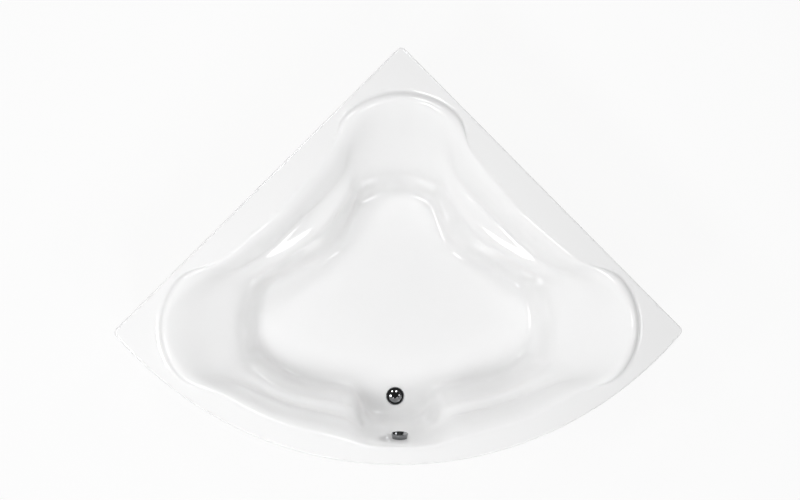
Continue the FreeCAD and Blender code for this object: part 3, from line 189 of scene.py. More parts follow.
def sunk_net(sink):
    """The basin's net moved outwards, square to the sheet; rim and floor rows move straight down."""
    along = np.roll(basin_net, -1, 0) - np.roll(basin_net, 1, 0)
    normal = np.zeros_like(basin_net)
    normal[..., 2] = 1
    inner = slice(2, row_count - 2)
    square = np.cross(along[:, inner], basin_net[:, 3:row_count - 1] - basin_net[:, 1:row_count - 3])
    normal[:, inner] = square / np.linalg.norm(square, axis=2, keepdims=True)
    return basin_net - normal * sink


def round_weights(count, samples):
    """Weights of the stations at samples round the basin: a closed smooth curve through all of them."""
    ring = np.eye(count)
    through = (4 * ring + np.roll(ring, 1, 0) + np.roll(ring, -1, 0)) / 6
    place = np.arange(samples) * count / samples
    station = place.astype(int)
    t = place - station
    weights = np.zeros((samples, count))
    blends = ((1 - t) ** 3, 3 * t ** 3 - 6 * t ** 2 + 4, -3 * t ** 3 + 3 * t ** 2 + 3 * t + 1, t ** 3)
    for step, blend in enumerate(blends, -1):
        weights[np.arange(samples), (station + step) % count] += blend / 6
    return weights @ np.linalg.inv(through)


def down_weights(count, samples):
    """Weights of the rows at samples from the rim to the floor: a smooth curve drawn towards them."""
    knots = np.concatenate([[0] * 3, np.arange(count - 2), [count - 3] * 3]).astype(float)
    place = np.linspace(0, count - 3 - 1e-9, samples)[:, None]
    basis = ((knots[:-1] <= place) & (place < knots[1:])).astype(float)
    for degree in range(1, 4):
        low = knots[degree:-1] - knots[:-degree - 1]
        high = knots[degree + 1:] - knots[1:-degree]
        rising = (place - knots[:-degree - 1]) / np.where(low > 0, low, 1)
        falling = (knots[degree + 1:] - place) / np.where(high > 0, high, 1)
        basis = basis[:, :-1] * rising * (low > 0) + basis[:, 1:] * falling * (high > 0)
    return basis


def formed_rings(sink, across, down):
    """Rings of points on the formed sheet, from the rim to the middle of the floor, within the CAD box."""
    rounds = round_weights(len(basin_net), across)
    downs = down_weights(row_count, down)
    rings = np.einsum("ui,vk,ikc->vuc", rounds, downs, sunk_net(sink))
    rings[..., 2] = np.minimum(rings[..., 2], cad_box[1][2])
    hub = np.array([*basin_focus, floor_z - sink])
    inner = [hub + (rings[-1] - hub) * share for share in (0.8, 0.6, 0.4, 0.2)]
    return list(rings) + inner, hub


def wall_meets_bow(wall_inset, bow_inset):
    """Where the right wall and the bow front meet, each moved inwards."""
    wall = back_y - wall_inset * math.sqrt(2)
    total = wall + arc_y
    y = (total - math.sqrt(total ** 2 - 2 * (wall ** 2 + arc_y ** 2 - (bow_r - bow_inset) ** 2))) / 2
    return np.array([wall - y, y])


least_corner_r = 0.004
corner_steps, wall_steps, tip_steps, bow_steps = 6, 24, 14, 70


def outline(inset, z):
    """Plan of the bath moved inwards: two straight walls, the bow front and three rounded corners."""
    radius = max(corner_r - inset, least_corner_r)
    back = np.array([0, back_y - (inset + radius) * math.sqrt(2)])
    side = wall_meets_bow(inset + radius, inset + radius)
    bow_turn = math.atan2(side[1] - arc_y, side[0])

    def arc(centre, r, start, end, steps):
        turns = np.linspace(start, end, steps + 1)
        return centre + r * np.column_stack([np.cos(turns), np.sin(turns)])

    corner = arc(back, radius, math.pi / 2, math.pi / 4, corner_steps)
    tip = arc(side, radius, math.pi / 4, bow_turn, tip_steps)
    shares = np.linspace(0, 1, wall_steps + 1)[1:-1, None]
    wall = corner[-1] + (tip[0] - corner[-1]) * shares
    front = arc(np.array([0, arc_y]), bow_r - inset, bow_turn, -math.pi / 2, bow_steps)
    right = np.concatenate([corner, wall, tip, front[1:]])
    plan = np.concatenate([right, right[-2:0:-1] * (-1, 1)])
    plan[:, 1] = np.minimum(plan[:, 1], cad_box[1][1])
    return np.column_stack([plan, np.full(len(plan), z)])


def meshed(bm, name):
    """What was drawn in bm, as a plain mesh."""
    mesh = bpy.data.meshes.new(name)
    bm.to_mesh(mesh)
    bm.free()
    return mesh


def placed(name, data):
    """A new object of the scene with this mesh, lamp or camera."""
    thing = bpy.data.objects.new(name, data)
    bpy.context.scene.collection.objects.link(thing)
    return thing


def smoothed(mesh, degrees):
    """The mesh shaded smooth, but for edges that turn by more than this."""
    mesh.shade_smooth()
    mesh.set_sharp_from_angle(angle=math.radians(degrees))
    return mesh


def settled(host, name, degrees):
    """Plain mesh of what an object's modifiers make of it; the object is removed."""
    mesh = bpy.data.meshes.new_from_object(host.evaluated_get(bpy.context.evaluated_depsgraph_get()))
    mesh.name = name
    bpy.data.objects.remove(host)
    return smoothed(mesh, degrees)


def fitted(mesh, body, node):
    """The mesh as a piece of a body, in place of a CAD piece."""
    piece = placed(mesh.name, mesh)
    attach(piece, body)
    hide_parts(node)


def formed_sheet(upper, lower, edge, across, down):
    """Closed mesh of one formed sheet between two depths, with an outer edge of (inset, height) loops.

    The underside has a third of the rows of the upper side."""
    bm = bmesh.new()

    def ring_of(points):
        return [bm.verts.new(p) for p in points]

    def band(first, second, flip):
        for i in range(len(first)):
            j = (i + 1) % len(first)
            quad = (first[i], first[j], second[j], second[i])
            bm.faces.new(quad[::-1] if flip else quad)

    def flat(loops):
        edges = [bm.edges.get((loop[i - 1], loop[i])) or bm.edges.new((loop[i - 1], loop[i]))
                 for loop in loops for i in range(len(loop))]
        bmesh.ops.triangle_fill(bm, use_beauty=True, use_dissolve=False, edges=edges)

    mouths = []
    for sink, rows, flip in ((upper, down, False), (lower, down // 3, True)):
        points, hub = formed_rings(sink, across, rows)
        rings = [ring_of(ring) for ring in points]
        for first, second in zip(rings, rings[1:]):
            band(first, second, flip)
        middle = bm.verts.new(hub)
        for i in range(across):
            triple = (rings[-1][i - 1], rings[-1][i], middle)
            bm.faces.new(triple[::-1] if flip else triple)
        mouths.append(rings[0])
    loops = [ring_of(outline(inset, z)) for inset, z in edge]
    for first, second in zip(loops, loops[1:]):
        band(first, second, False)
    flat([mouths[0], loops[0]])
    flat([mouths[1], loops[-1]])
    bmesh.ops.recalc_face_normals(bm, faces=bm.faces)
    return meshed(bm, "formed sheet")


def wall_seat(height):
    """Point and inward normal of the front wall at a height, on the middle line."""
    samples = 400
    rings, _ = formed_rings(0, len(basin_net), samples)
    line = np.array([ring[0] for ring in rings[:samples]])
    k = int(np.argmax(line[:, 2] < height))
    share = (line[k - 1, 2] - height) / (line[k - 1, 2] - line[k, 2])
    along = line[k + 1] - line[k - 2]
    inwards = Vector((0, -along[2], along[1])).normalized()
    return Vector(line[k - 1] + (line[k] - line[k - 1]) * share), inwards


overflow_drop = 0.115
overflow_at, overflow_in = wall_seat(rim_z - overflow_drop)
cut_past = 0.03


def round_bar(radius, start, end):
    """Temporary round bar between two points, for joining to a sheet or cutting it."""
    axis = end - start
    place = Matrix.Translation(start + axis / 2) @ axis.to_track_quat("Z", "Y").to_matrix().to_4x4()
    bm = bmesh.new()
    bmesh.ops.create_cone(bm, cap_ends=True, segments=96, radius1=radius, radius2=radius,
                          depth=axis.length, matrix=place)
    return placed("bar", meshed(bm, "bar"))


def drain_bar(radius, low=floor_z - cut_past, high=floor_z + cut_past):
    """Bar on the axis of the drain, through the floor if nothing else is said."""
    return round_bar(radius, Vector((0, drain_y, low)), Vector((0, drain_y, high)))


def overflow_bar(radius):
    """Bar through the front wall at the overflow."""
    return round_bar(radius, overflow_at - cut_past * overflow_in, overflow_at + cut_past * overflow_in)


def shaped(name, sheet, *steps):
    """Plain mesh of a sheet after its joins and cuts with bars."""
    host = placed("host", sheet)
    for operation, bar in steps:
        cut = host.modifiers.new("cut", "BOOLEAN")
        cut.operation = operation
        cut.solver = "EXACT"
        cut.object = bar
    mesh = settled(host, name, degrees=40)
    for _, bar in steps:
        bpy.data.objects.remove(bar)
    return mesh


class Value:
    """A value on its way through a node tree; arithmetic on it adds Math nodes."""

    def __init__(self, graph, socket):
        self.graph = graph
        self.socket = socket

    def maths(self, operation, *others):
        """This value, then any others, through one Math node."""
        return self.graph.node("ShaderNodeMath", {"operation": operation}, dict(enumerate((self, *others))))

    def __add__(self, other):
        return self.maths("ADD", other)

    def __sub__(self, other):
        return self.maths("SUBTRACT", other)

    def __rsub__(self, other):
        return self.graph.node("ShaderNodeMath", {"operation": "SUBTRACT"}, {0: other, 1: self})

    def __mul__(self, other):
        return self.maths("MULTIPLY", other)

    def __truediv__(self, other):
        return self.maths("DIVIDE", other)

    __radd__ = __add__
    __rmul__ = __mul__


class Graph:
    """A node tree with one way of adding any node: its kind, its settings, then its sockets."""

    def __init__(self, tree):
        self.tree = tree

    def plug(self, socket, value):
        if isinstance(value, Value):
            self.tree.links.new(value.socket, socket)
        else:
            socket.default_value = value

    def node(self, kind, settings, sockets, output=0):
        """A new node; a ramp's stops are (place, grey) pairs."""
        node = self.tree.nodes.new(kind)
        for key, value in settings.items():
            if key == "stops":
                stops = node.color_ramp.elements
                stops.remove(stops[0])
                stops[0].position, shade = value[-1]
                stops[0].color = (shade, shade, shade, 1)
                for place, shade in value[:-1]:
                    stops.new(place).color = (shade, shade, shade, 1)
            else:
                setattr(node, key, value)
        for key, value in sockets.items():
            self.plug(node.inputs[key], value)
        return Value(self, node.outputs[output])


class Finish(Graph):
    """A surface finish: a material with a plain shader, and the nodes that vary it over the surface."""

    def __init__(self, name, colour, roughness, constants=None):
        self.material = bpy.data.materials.new(name)
        self.material.use_nodes = True
        super().__init__(self.material.node_tree)
        self.shader = self.tree.nodes["Principled BSDF"]
        self.feed("Base Color", (*colour, 1))
        self.feed("Roughness", roughness)
        for key, value in (constants or {}).items():
            self.feed(key, value)

    def feed(self, name, value):
        self.plug(self.shader.inputs[name], value)

    def place(self, turn=0.0, stretch=(1, 1, 1)):
        """Object coordinates, turned about Z and stretched."""
        at = self.node("ShaderNodeTexCoord", {}, {}, "Object")
        return self.node("ShaderNodeMapping", {}, {
            "Vector": at, "Rotation": (0, 0, turn), "Scale": stretch})

    def noise(self, scale, detail=3.0, place=None):
        place = place or self.place()
        return self.node("ShaderNodeTexNoise", {}, {"Vector": place, "Scale": scale, "Detail": detail})

    def blend(self, share, first, second):
        """Colour between two others; 6 and 7 are the colour inputs of a Mix node, 2 is its colour output."""
        return self.node("ShaderNodeMix", {"data_type": "RGBA"}, {0: share, 6: first, 7: second}, 2)

    def relief(self, height, distance, strength=1.0):
        self.feed("Normal", self.node("ShaderNodeBump", {}, {
            "Strength": strength, "Distance": distance, "Height": height}))


white_acrylic = Finish("white acrylic", (0.94, 0.94, 0.94), 0.07, {"IOR": 1.49})
white_acrylic.feed("Roughness", 0.05 + 0.04 * white_acrylic.noise(3.0))

# The first loop of the edge lies just inside the round, so that the flat rim is shaded flat.
edge_r, edge_drop = 0.006, 0.035
edge_foot_z = rim_z - edge_drop
rim_edge = [(1.25 * edge_r, rim_z)]
rim_edge += [(edge_r * (1 - math.sin(turn)), rim_z - edge_r * (1 - math.cos(turn)))
             for turn in np.linspace(0, math.pi / 2, 7)]
rim_edge += [(0, edge_foot_z), (acrylic_thick, edge_foot_z), (acrylic_thick, rim_z - acrylic_thick)]

# The drain flange lies in a shallow dish of the floor.
dish_r, flange_seat_r, drain_hole_r, overflow_hole_r = 0.044, 0.039, 0.025, 0.026
flange_seat_drop = 0.0025
flange_seat_z = floor_z - flange_seat_drop
dish_low_z = flange_seat_z - acrylic_thick
sheet = formed_sheet(0, acrylic_thick, rim_edge, across=480, down=132)
mesh = shaped("bath_shell", sheet,
              ("UNION", drain_bar(dish_r, dish_low_z, flange_seat_z)),
              ("DIFFERENCE", drain_bar(flange_seat_r, flange_seat_z)),
              ("DIFFERENCE", drain_bar(drain_hole_r)),
              ("DIFFERENCE", overflow_bar(overflow_hole_r)))
mesh.materials.append(white_acrylic.material)
fitted(mesh, "bath", "acrylic_shell")

# Laminate: chopped glass strands rolled with polyester resin on to the back of the shell, while it is still
# on the mould. It is rough, a little see-through and yellowish, and stops short of the turned-down edge.
resin = Finish("glass fibre laminate", (0.72, 0.69, 0.56), 0.5)
strands = resin.noise(1.0, 4.0, resin.place(0.6, (420, 70, 90)))
crossing = resin.noise(1.0, 4.0, resin.place(-0.8, (380, 60, 110)))
fibres = strands * crossing
resin.feed("Base Color", resin.blend(fibres * 2.4 - 0.2, (0.58, 0.53, 0.38, 1), (0.83, 0.81, 0.72, 1)))
resin.feed("Roughness", 0.35 + 0.4 * fibres)
resin.relief(fibres + 0.6 * resin.noise(22.0), 0.002, 0.7)

laminate_gap, laminate_thick, laminate_inset = 0.0003, 0.004, 0.006
laminate_drain_r, laminate_overflow_r = 0.045, 0.035
laminate_top = acrylic_thick + laminate_gap
laminate_under = laminate_top + laminate_thick
laminate_edge = [(laminate_inset, rim_z - laminate_top), (laminate_inset, rim_z - laminate_under)]
sheet = formed_sheet(laminate_top, laminate_under, laminate_edge, across=288, down=120)
mesh = shaped("laminate_skin", sheet,
              ("DIFFERENCE", drain_bar(laminate_drain_r)),
              ("DIFFERENCE", overflow_bar(laminate_overflow_r)))
mesh.materials.append(resin.material)
fitted(mesh, "bath", "laminate_backing")


# Base board: raw chipboard laid into the wet resin under the floor, sawn straight round its edge. It spreads
# the bather's weight over the bearers, which are screwed to it from below.
def coat(finish, *names):
    """Gives CAD pieces their finish."""
    for name in names:
        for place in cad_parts[name].material_slots:
            place.material = finish.material


chipboard = Finish("raw chipboard", (0.6, 0.45, 0.28), 0.75)
chips = chipboard.node("ShaderNodeTexVoronoi", {}, {
    "Vector": chipboard.place(0.3, (1, 1.6, 2.2)), "Scale": 160.0}, "Color")
shade = chipboard.node("ShaderNodeSeparateColor", {}, {"Color": chips}, 0)
chipboard.feed("Base Color", chipboard.blend(shade, (0.42, 0.29, 0.16, 1), (0.74, 0.6, 0.4, 1)))
chipboard.relief(shade, 0.0006, 0.6)
coat(chipboard, "base_board")


# Rim battens and corner blocks: planed softwood, laid into the resin under the rim. The wall battens stiffen
# the straight sides, the sawn front battens carry the apron and the blocks take the top plates of the legs.
def softwood(name, turn):
    """Planed softwood with its grain along one direction of the plan."""
    wood = Finish(name, (0.74, 0.58, 0.38), 0.6)
    grain = wood.place(turn, (1.2, 26, 26))
    rings = wood.node("ShaderNodeTexWave", {"wave_type": "BANDS", "bands_direction": "Y"}, {
        "Vector": grain, "Scale": 1.4, "Distortion": 3.5, "Detail": 3.0}, 1)
    fine = wood.noise(9.0, 5.0, grain)
    wood.feed("Base Color", wood.blend(
        0.55 * rings + 0.45 * fine, (0.8, 0.65, 0.44, 1), (0.58, 0.39, 0.2, 1)))
    wood.relief(fine, 0.0004, 0.5)
    return wood


coat(softwood("softwood along the right wall", math.radians(45)), "wall_batten_right")
coat(softwood("softwood along the left wall", math.radians(-45)), "wall_batten_left")
coat(softwood("softwood along the front", 0.0), "front_batten_left", "front_batten_right", "corner_blocks")

# Leg frame: square steel tube, welded and powder coated. The bearers run under the base board, the posts
# stand at the rim, and a plate on each post is screwed up into the wood.
powder_coat = Finish("powder coated steel", (0.78, 0.79, 0.8), 0.42)
powder_coat.relief(powder_coat.noise(900.0, 2.0), 0.0003, 0.25)
coat(powder_coat, "main_bearer", "spine_bearer", "front_bearer_left", "front_bearer_right", "post_back",
     "post_left", "post_right", "post_front_left", "post_front_right", "post_top_plates")

# Wall hangers and apron brackets: bent from zinc-plated strip. The hangers hook behind the turned-down edge
# and take two wall screws each. The lock nuts of the feet have the same plating.
zinc = Finish("zinc plate", (0.66, 0.67, 0.69), 0.35, {"Metallic": 1.0})
spangle = zinc.noise(60.0, 2.0)
zinc.feed("Base Color", zinc.blend(spangle, (0.56, 0.57, 0.6, 1), (0.76, 0.77, 0.78, 1)))
zinc.feed("Roughness", 0.25 + 0.25 * spangle)
coat(zinc, "wall_hangers_left", "wall_hangers_right", "apron_brackets", "foot_lock_nuts")


# Levelling feet: a threaded zinc-plated stud in a moulded pad. The stud screws up and down in the insert at
# the end of its post, and the lock nut holds it there.
class Pattern(Graph):
    """Geometry Nodes tree with named sizes, grown into one plain mesh."""

    def __init__(self, name, **sizes):
        super().__init__(bpy.data.node_groups.new(name, "GeometryNodeTree"))
        self.tree.interface.new_socket("Geometry", in_out="INPUT", socket_type="NodeSocketGeometry")
        self.tree.interface.new_socket("Geometry", in_out="OUTPUT", socket_type="NodeSocketGeometry")
        for size, value in sizes.items():
            kind = "NodeSocketInt" if isinstance(value, int) else "NodeSocketFloat"
            self.tree.interface.new_socket(size, in_out="INPUT", socket_type=kind).default_value = value
        self.inlet = self.tree.nodes.new("NodeGroupInput")
        self.outlet = self.tree.nodes.new("NodeGroupOutput")
        self.source = Value(self, self.inlet.outputs["Geometry"])

    def size(self, name):
        return Value(self, self.inlet.outputs[name])

    def set_out(self, geometry):
        """The geometry on each point of the source, its Z along the point's direction."""
        along = self.node("GeometryNodeInputNamedAttribute", {"data_type": "FLOAT_VECTOR"}, {
            "Name": "direction"})
        turn = self.node("FunctionNodeAlignRotationToVector", {"axis": "Z"}, {"Vector": along})
        return self.node("GeometryNodeInstanceOnPoints", {}, {
            "Points": self.source, "Instance": geometry, "Rotation": turn})

    def spot(self):
        """Place of each point: x, y and z, its angle round Z and its distance from Z."""
        at = self.node("GeometryNodeInputPosition", {}, {})
        x, y, z = [self.node("ShaderNodeSeparateXYZ", {}, {0: at}, k) for k in range(3)]
        return x, y, z, y.maths("ARCTAN2", x), (x * x + y * y).maths("SQRT")

    def moved(self, geometry, x, y, z):
        place = self.node("ShaderNodeCombineXYZ", {}, {0: x, 1: y, 2: z})
        return self.node("GeometryNodeSetPosition", {}, {"Geometry": geometry, "Position": place})

    def close(self, geometry, finish):
        """Ends the tree with plain geometry in one finish."""
        plain = self.node("GeometryNodeRealizeInstances", {}, {"Geometry": geometry})
        coated = self.node("GeometryNodeSetMaterial", {}, {"Geometry": plain, "Material": finish.material})
        self.plug(self.outlet.inputs[0], coated)

    def grow(self, name, source=None, **sizes):
        """Mesh grown with these sizes, on a source mesh or on nothing."""
        host = placed("host", source or bpy.data.meshes.new("nothing"))
        growth = host.modifiers.new(name, "NODES")
        growth.node_group = self.tree
        for item in self.tree.interface.items_tree:
            if item.in_out == "INPUT" and item.name in sizes:
                growth[item.identifier] = sizes[item.name]
        return settled(host, name, degrees=50)


moulded_black = Finish("moulded black plastic", (0.035, 0.035, 0.04), 0.5)
moulded_black.relief(moulded_black.noise(1400.0, 2.0), 0.0002, 0.3)

thread = Pattern("stud thread", Radius=0.006, Pitch=0.00175, Length=0.112, Steps=512, Cut=0.0009)
bar = thread.node("GeometryNodeMeshCylinder", {"fill_type": "TRIANGLE_FAN"}, {
    "Vertices": 20, "Side Segments": thread.size("Steps"), "Radius": thread.size("Radius"),
    "Depth": thread.size("Length")})
x, y, z, angle, _ = thread.spot()
saw = (z / thread.size("Pitch") - angle / (2 * math.pi)).maths("PINGPONG", 0.5)
keep = 1 - saw * 2.0 * thread.size("Cut") / thread.size("Radius")
thread.close(thread.moved(bar, x * keep, y * keep, z), zinc)

feet = [name[len("foot_stud_"):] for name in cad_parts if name.startswith("foot_stud_")]
for foot in feet:
    low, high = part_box("foot_stud_" + foot)
    mesh = thread.grow("threaded_stud_" + foot, Length=high.z - low.z)
    mesh.transform(Matrix.Translation((low + high) / 2))
    fitted(mesh, "foot_" + foot, "foot_stud_" + foot)
    coat(moulded_black, "foot_pad_" + foot)
coat(moulded_black, "foot_inserts")

# Front apron: a panel of the same white acrylic, bent to the bow of the front, with a flange along its top
# that is screwed up into the front battens. Its foot is held by two brackets on the front legs.
apron_inset, apron_flange_inset, apron_end_gap = 0.014, 0.033, 0.0085
apron_foot_z, apron_top_z, apron_thick = 0.015, 0.6127, 0.004
foot_round, top_round = 0.0015, 0.001
apron_back = apron_inset + apron_thick
flange_under_z = apron_top_z - apron_thick
apron_steps = 240
bends = np.radians([0, 45, 90])
apron_section = [
    (apron_inset + foot_round * (1 - math.sin(bend)), apron_foot_z + foot_round * (1 - math.cos(bend)))
    for bend in bends]
apron_section += [
    (apron_inset + top_round * (1 - math.cos(bend)), apron_top_z - top_round * (1 - math.sin(bend)))
    for bend in bends]
apron_section += [
    (apron_flange_inset, apron_top_z), (apron_flange_inset, flange_under_z),
    (apron_back, flange_under_z), (apron_back, apron_foot_z)]
bm = bmesh.new()
lines = []
for inset, z in apron_section:
    radius = bow_r - inset
    end = wall_meets_bow(apron_end_gap, inset)
    reach = math.atan2(end[0], arc_y - end[1])
    lines.append([
        bm.verts.new((radius * math.sin(turn), arc_y - radius * math.cos(turn), z))
        for turn in np.linspace(-reach, reach, apron_steps + 1)])
for first, second in zip(lines, lines[1:] + lines[:1]):
    for i in range(apron_steps):
        bm.faces.new((first[i], first[i + 1], second[i + 1], second[i]))
for end in (0, -1):
    bm.faces.new([line[end] for line in lines])
bmesh.ops.recalc_face_normals(bm, faces=bm.faces)
mesh = smoothed(meshed(bm, "apron_panel"), degrees=50)
mesh.materials.append(white_acrylic.material)
fitted(mesh, "bath", "front_apron")

# Drain: a turned and chromed brass flange screwed down into a moulded body, with rubber gaskets above and
# below the floor. The domed plug rides on a stem that the rocker in the body lifts.
# The chrome's colour is darker than real polished chrome: painted dark reflection, standing in for a dark
# room mirrored in the flange, plug, rosette and knob.
chrome_painted_dark = Finish("polished chrome", (0.25, 0.253, 0.26), 0.06, {"Metallic": 1.0})
rubber = Finish("black rubber", (0.03, 0.03, 0.033), 0.7)
moulded_white = Finish("moulded white plastic", (0.8, 0.8, 0.78), 0.4)
moulded_white.relief(moulded_white.noise(700.0, 2.0), 0.0002, 0.2)
brass = Finish("turned brass", (0.72, 0.52, 0.22), 0.3, {"Metallic": 1.0})
coat(chrome_painted_dark, "drain_flange", "plug_cap")
coat(rubber, "flange_gasket", "drain_gasket", "plug_seal")
coat(moulded_white, "drain_body", "lift_rocker")
coat(brass, "plug_stem")

# Overflow: a chromed rosette against the front wall and a chromed knob that turns the spindle, with a
# moulded body and a rubber gasket behind the wall. The knob pulls the cable that lifts the plug.
coat(chrome_painted_dark, "overflow_rosette", "overflow_knob")
coat(rubber, "overflow_gasket")
coat(brass, "knob_spindle")
coat(moulded_white, "overflow_body")

# Trap: a moulded drum with a dip tube, a clean-out cap below and a spigot for the waste pipe. A coupling
# nut, ribbed round its outside for the hand, draws it up on to the outlet of the drain body.
coat(moulded_white, "trap_body", "trap_cap")
up = Vector((0, 0, 1))


def seats(places):
    """Points, each with the direction of what stands on it."""
    mesh = bpy.data.meshes.new("seats")
    mesh.from_pydata([at for at, _ in places], [], [])
    along = mesh.attributes.new("direction", "FLOAT_VECTOR", "POINT")
    along.data.foreach_set("vector", [part for _, way in places for part in way])
    return mesh


nut = Pattern("ribbed nut", Inner=0.0201, Outer=0.027, Length=0.024, Ribs=24, Groove=0.0012)
middle = (nut.size("Inner") + nut.size("Outer")) / 2.0
ring = nut.node("GeometryNodeCurvePrimitiveCircle", {}, {
    "Resolution": nut.size("Ribs") * 8, "Radius": middle})
wall = nut.node("GeometryNodeCurvePrimitiveQuadrilateral", {}, {
    "Width": nut.size("Outer") - nut.size("Inner"), "Height": nut.size("Length")})
body = nut.node("GeometryNodeCurveToMesh", {}, {"Curve": ring, "Profile Curve": wall})
x, y, z, angle, radius = nut.spot()
outside = radius.maths("GREATER_THAN", middle)
wave = 0.5 + 0.5 * (angle * nut.size("Ribs")).maths("COSINE")
keep = 1 - outside * wave * nut.size("Groove") / radius
nut.close(nut.set_out(nut.moved(body, x * keep, y * keep, z)), moulded_white)
low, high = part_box("trap_coupling")
mesh = nut.grow("ribbed_coupling", seats([((low + high) / 2, up)]))
fitted(mesh, "bath", "trap_coupling")

# Overflow hose and control cable: a corrugated plastic hose from the overflow down to the drain body,
# clamped by a ribbed nut at each end, and beside it the cable in its black sheath.
low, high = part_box("hose_nuts")
nut_r, nut_length, bend_r = 0.0186, 0.015, 0.058
hose_top = Vector((0, low.y + nut_r, high.z))
hose_foot = Vector((0, high.y, low.z + nut_r))
level = Vector((0, 1, 0))
mesh = nut.grow("ribbed_hose_nuts", seats([
    (hose_top - up * nut_length / 2, up), (hose_foot - level * nut_length / 2, level)]),
    Inner=0.0151, Outer=nut_r, Length=nut_length, Ribs=20, Groove=0.0008)
fitted(mesh, "bath", "hose_nuts")

satin_grey = Finish("satin grey hose", (0.62, 0.63, 0.64), 0.4)
hose = Pattern("corrugated hose", Radius=0.015, Groove=0.0016, Pitch=0.004)
path = hose.node("GeometryNodeMeshToCurve", {}, {"Mesh": hose.source})
path = hose.node("GeometryNodeResampleCurve", {"mode": "LENGTH"}, {
    "Curve": path, "Length": hose.size("Pitch") / 8.0})
run = hose.node("GeometryNodeSplineParameter", {}, {}, "Length")
wave = 0.5 + 0.5 * (run * (2 * math.pi) / hose.size("Pitch")).maths("COSINE")
girth = hose.node("GeometryNodeCurvePrimitiveCircle", {}, {"Resolution": 28, "Radius": 1.0})
tube = hose.node("GeometryNodeCurveToMesh", {}, {
    "Curve": path, "Profile Curve": girth, "Scale": hose.size("Radius") - hose.size("Groove") * wave,
    "Fill Caps": True})
hose.close(tube, satin_grey)
route = [hose_top] + [
    Vector((0, hose_top.y + bend_r * (1 - math.cos(turn)), hose_foot.z + bend_r * (1 - math.sin(turn))))
    for turn in np.linspace(0, math.pi / 2, 33)] + [hose_foot]
line = bpy.data.meshes.new("hose route")
line.from_pydata(route, [(i, i + 1) for i in range(len(route) - 1)], [])
fitted(hose.grow("corrugated_hose", line), "bath", "overflow_hose")
sheath = Finish("black cable sheath", (0.04, 0.04, 0.045), 0.45)
coat(sheath, "control_cable")


# Screws: zinc-plated steel with a yellow passivated finish, round heads and a four-armed recess. They hold
# the board to the bearers, the top plates to the wood and the apron to the battens and brackets.
screw_apart = 0.02
head_height = 0.0025


def screw_seats(name, across, way):
    """Place and direction of each screw of a CAD piece, told apart on a plane across them."""
    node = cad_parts[name]
    groups = []
    for vertex in node.data.vertices:
        at = node.matrix_world @ vertex.co
        near = [group for group in groups if getattr(at - group[0], across).length < screw_apart]
        if near:
            near[0].append(at)
        else:
            groups.append([at])
    places = []
    for group in groups:
        centre = sum(group, Vector()) / len(group)
        along = way(centre)
        head_end = min((at - centre).dot(along) for at in group)
        places.append((centre + along * (head_end + head_height), along))
    return seats(places)


passivated = Finish("passivated screw steel", (0.68, 0.62, 0.45), 0.32, {"Metallic": 1.0})
screw = Pattern("round-headed screw", Length=0.015, Radius=0.0025, Head=0.0045, Height=head_height)
shank = screw.node("GeometryNodeMeshCylinder", {"fill_type": "TRIANGLE_FAN"}, {
    "Vertices": 16, "Radius": screw.size("Radius"), "Depth": screw.size("Length")})
lift = screw.node("ShaderNodeCombineXYZ", {}, {2: screw.size("Length") / 2.0})
shank = screw.node("GeometryNodeTransform", {}, {"Geometry": shank, "Translation": lift})
head = screw.node("GeometryNodeMeshCylinder", {"fill_type": "TRIANGLE_FAN"}, {
    "Vertices": 48, "Side Segments": 4, "Fill Segments": 12, "Radius": screw.size("Head"),
    "Depth": screw.size("Height")})
x, y, z, angle, radius = screw.spot()
dome_drop, recess_deep, recess_r, recess_arm = 0.45, 0.5, 0.4, 0.14
share = radius / screw.size("Head")
end_face = z.maths("LESS_THAN", screw.size("Height") * -0.45)
recess = share.maths("LESS_THAN", recess_r + recess_arm * (angle * 4.0).maths("COSINE"))
sunk = screw.size("Height") * end_face * (dome_drop * share * share + recess_deep * recess)
head = screw.moved(head, x, y, z + sunk - screw.size("Height") / 2.0)
whole = screw.node("GeometryNodeJoinGeometry", {}, {})
for geometry in (shank, head):
    screw.tree.links.new(geometry.socket, whole.socket.node.inputs[0])
screw.close(screw.set_out(whole), passivated)
for name, across, way, length in (
        ("board_screws", "xy", lambda at: up, 0.037),
        ("plate_screws", "xy", lambda at: up, 0.015),
        ("apron_top_screws", "xy", lambda at: up, 0.016),
        ("apron_foot_screws", "xz", lambda at: Vector((-at.x, arc_y - at.y, 0)).normalized(), 0.019)):
    mesh = screw.grow("headed_" + name, screw_seats(name, across, way), Length=length)
    fitted(mesh, "bath", name)

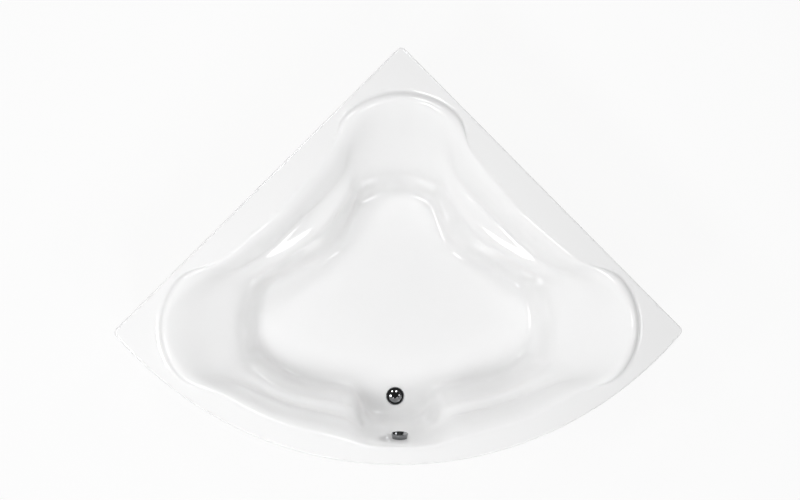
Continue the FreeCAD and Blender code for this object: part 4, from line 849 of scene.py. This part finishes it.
# Studio: a pale floor that the camera and mirrored rays see nearly white, a sky that is pale all round and
# dark overhead, and six round lamps in a ring, strongest at the front left. The camera looks down on the rim.
floor_reach, floor_whiteness = 30, 0.9
floor_finish = Finish("pale floor", (0.9, 0.9, 0.9), 0.8)
camera_ray, glossy_ray, transmission_ray = [
    floor_finish.node("ShaderNodeLightPath", {}, {}, kind)
    for kind in ("Is Camera Ray", "Is Glossy Ray", "Is Transmission Ray")]
seen = camera_ray.maths("MAXIMUM", glossy_ray).maths("MAXIMUM", transmission_ray)
glow = floor_finish.node("ShaderNodeEmission", {}, {"Color": (1, 1, 1, 1), "Strength": 1.0})
lit = Value(floor_finish, floor_finish.shader.outputs[0])
pale = floor_finish.node("ShaderNodeMixShader", {}, {0: seen * floor_whiteness, 1: lit, 2: glow})
floor_finish.plug(floor_finish.tree.nodes["Material Output"].inputs["Surface"], pale)
mesh = bpy.data.meshes.new("floor")
corners = [(side_x * floor_reach, side_y * floor_reach, 0)
           for side_x, side_y in ((-1, -1), (1, -1), (1, 1), (-1, 1))]
mesh.from_pydata(corners, [], [(0, 1, 2, 3)])
mesh.materials.append(floor_finish.material)
floor = placed("floor", mesh)

world = bpy.data.worlds.new("sky")
world.use_nodes = True
bpy.context.scene.world = world
sky = Graph(world.node_tree)
heading = sky.node("ShaderNodeTexCoord", {}, {}, "Generated")
rise = sky.node("ShaderNodeSeparateXYZ", {}, {0: heading}, 2)
tone = sky.node("ShaderNodeValToRGB", {
    "stops": [(0.0, 0.95), (0.2, 0.5), (0.6, 0.48), (0.85, 0.05)]}, {0: rise})
sky.plug(world.node_tree.nodes["Background"].inputs["Color"], tone)

# Each lamp: its direction in plan, its height above the level, both in degrees, its distance and its power.
lamp_width = 0.8
lamp_aim = 0.4 * up
for turn, height, away, power in (
        (200, 57, 3.8, 27), (250, 57, 3.8, 27), (300, 57, 4.4, 19),
        (350, 57, 4.4, 6), (65, 63, 4.4, 23), (130, 57, 4.4, 27)):
    lamp = bpy.data.lights.new("lamp_%d" % turn, "AREA")
    lamp.shape = "DISK"
    lamp.size = lamp_width
    lamp.energy = power
    turn, height = math.radians(turn), math.radians(height)
    way = Vector((math.cos(turn) * math.cos(height), math.sin(turn) * math.cos(height), math.sin(height)))
    lamp_place = placed(lamp.name, lamp)
    lamp_place.location = lamp_aim + away * way
    lamp_place.rotation_euler = way.to_track_quat("Z", "Y").to_euler()

lens = bpy.data.cameras.new("camera")
lens.lens = 66.9
lens.sensor_width = 36
camera_x, camera_y, camera_over_rim = -0.32, 0.0233, 5.5
looks_aside = 0.3148
camera = placed("camera", lens)
camera.location = (camera_x, camera_y, rim_z + camera_over_rim)
camera.rotation_euler = (0, -math.atan2(looks_aside, camera_over_rim), 0)
bpy.context.scene.camera = camera
bpy.context.scene.view_settings.view_transform = "Standard"
